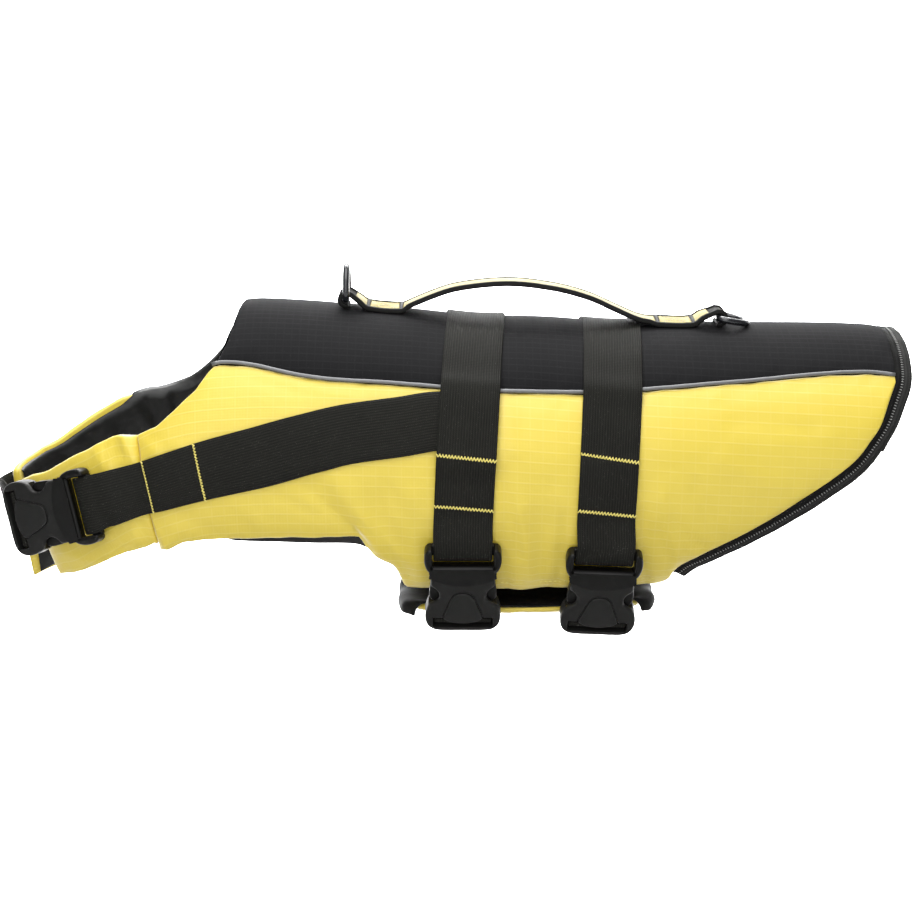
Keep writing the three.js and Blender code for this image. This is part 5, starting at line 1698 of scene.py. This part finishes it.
def buildSewing():
    lines = []
    for key, strap in girthStraps.items():
        turns = [(turn, barTacks[key]["skew"]) for turn in barTacks[key]["turns"]]
        for turn, skew in turns + [(barTacks["farTurn"], 0.0)]:
            near = facePoint(strapAlong(strap, turn), turn, barTacks["out"])
            lines.append(strapRow(key, near, skew))
        x = facePoint(strap["low"], strap["buckleTurn"])[0]
        for index in barTacks["bellyRows"]:
            near = bellyPoint(np.array([x]), index, np.zeros(1))[0]
            lines.append(strapRow("belly" + key, near))
    for key, side in (("neckNear", 1), ("neckFar", -1)):
        for along, turn in barTacks["neck"]:
            near = facePoint(along, turn * side, barTacks["out"])
            lines.append(strapRow(key, near, barTacks["neckSkew"] * side))
    sew("strap_bar_tacks", lines, "zigzag", yellowThread)

    sew("hem_tape_ladder", sewing["tape"], "ladder", greyThread)

    hems = []
    for side in (1, -1):
        hems.append(clothLine(((299, 136.4), (380, 138.8), (460, 140.6)), side, 0.15))
    sew("hem_seam_stitches", hems, "run", yellowThread)

    grid = sewing["handle"]
    normals = unit(np.cross(np.gradient(grid, axis=0), np.gradient(grid, axis=1)))
    normals = normals * np.sign(normals[..., 2:])
    bars, crosses = [], []
    for pair in (handle["boxes"][:2], handle["boxes"][2:]):
        ends = [int(np.argmin(np.abs(grid[:, 4, 0] - x))) for x in pair]
        bars += [(grid[k] + normals[k] * 0.1, normals[k]) for k in ends]
        steps = np.linspace(0, 1, 9)
        index = np.round(ends[0] + 2 + (ends[1] - ends[0] - 4) * steps).astype(int)
        for columns in (np.arange(9), np.arange(9)[::-1]):
            out = normals[index, columns]
            crosses.append((grid[index, columns] + out * 0.1, out))
    sew("handle_bar_tacks", bars, "zigzag", blackThread)
    sew("handle_crossed_stitches", crosses, "fineRun", greyThread)


print("sewing")
buildSewing()


# The studio: a seamless pale sweep whose floor carries painted shade, darkest under the jacket,
# with a soft light overhead, a gentle fill from the front and a wash on the background.
studio = {
    "floor": -0.5, "back": 2.4, "width": 9.0, "bend": 1.0, "air": 0.22,
    # Painted shade: the floor's colour is darker in front of and under the jacket and lighter
    # behind it. This stands in for the jacket's shadow and keeps bounce light off its underside.
    "paint": {"front": "#dedede", "under": "#767676", "back": "#f2f2f2"},
    "lights": (  # place, aim, size, power and spread in degrees
        ("overhead", (-0.15, -0.7, 1.6), (-0.05, 0.0, -0.05), 1.8, 42, 180),
        ("front fill", (-0.4, -2.2, 0.6), (-0.05, 0.0, -0.08), 1.8, 25, 180),
        ("sweep wash", (0.0, 1.7, 1.9), (0.0, 2.1, 0.0), 2.0, 260, 112),
    ),
}


def buildStudio():
    profile = [(-4.0, studio["floor"]), (studio["back"] - studio["bend"], studio["floor"])]
    for k in range(1, 13):
        angle = math.pi / 2 * k / 12
        profile.append((
            studio["back"] - studio["bend"] + math.sin(angle) * studio["bend"],
            studio["floor"] + (1 - math.cos(angle)) * studio["bend"],
        ))
    profile.append((studio["back"], 5.0))
    half = studio["width"] / 2
    verts = [(x, y, z) for y, z in profile for x in (-half, half)]
    faces = [(2 * k, 2 * k + 1, 2 * k + 3, 2 * k + 2) for k in range(len(profile) - 1)]
    mesh = bpy.data.meshes.new("sweep")
    mesh.from_pydata(verts, [], faces)
    mesh.polygons.foreach_set("use_smooth", np.ones(len(mesh.polygons), bool))
    material, tree, shader = newMaterial("studio sweep matt with painted floor shade", Roughness=0.9)
    spot = addNode(tree, "ShaderNodeTexCoord").outputs["Object"]
    depth = addNode(tree, "ShaderNodeSeparateXYZ", {0: spot}).outputs[1]
    ahead = addNode(
        tree, "ShaderNodeMapRange", {"Value": depth, "From Min": -0.2, "From Max": -0.55}
    ).outputs["Result"]
    behind = addNode(
        tree, "ShaderNodeMapRange", {"Value": depth, "From Min": 0.0, "From Max": 0.5}
    ).outputs["Result"]
    paint = {key: linear(colour) for key, colour in studio["paint"].items()}
    # Painted shade: the floor goes to the under grey beneath the jacket.
    floor = mixColour(tree, ahead, paint["under"], paint["front"])
    tree.links.new(mixColour(tree, behind, floor, paint["back"]), shader.inputs["Base Color"])
    mesh.materials.append(material)
    sweep = bpy.data.objects.new("sweep", mesh)
    bpy.context.scene.collection.objects.link(sweep)

    world = bpy.data.worlds.new("studio air")
    world.use_nodes = True
    world.node_tree.nodes["Background"].inputs["Color"].default_value = linear("#ffffff")
    world.node_tree.nodes["Background"].inputs["Strength"].default_value = studio["air"]
    bpy.context.scene.world = world

    for name, spot, aim, size, power, spread in studio["lights"]:
        light = bpy.data.lights.new(name, "AREA")
        light.size = size
        light.energy = power
        light.spread = math.radians(spread)
        lamp = bpy.data.objects.new(name, light)
        lamp.location = spot
        lamp.rotation_euler = (Vector(aim) - Vector(spot)).to_track_quat("-Z", "Y").to_euler()
        bpy.context.scene.collection.objects.link(lamp)


# The photograph's view: level with the back, looking 12 degrees down.
def buildCamera():
    view = {"target": (-58, 0, -80.4), "distance": 1400.0, "elevation": 12.0, "lens": 81.0}
    camera = bpy.data.cameras.new("camera")
    camera.sensor_width = 36
    camera.lens = view["lens"]
    stand = bpy.data.objects.new("camera", camera)
    tilt = math.radians(view["elevation"])
    target = Vector(view["target"]) * mm - Vector(origin * mm)
    back = Vector((0, -math.cos(tilt), math.sin(tilt)))
    stand.location = target + back * view["distance"] * mm
    stand.rotation_euler = (-back).to_track_quat("-Z", "Y").to_euler()
    bpy.context.scene.collection.objects.link(stand)
    bpy.context.scene.camera = stand


buildStudio()
buildCamera()
bpy.context.scene.view_settings.view_transform = "Standard"
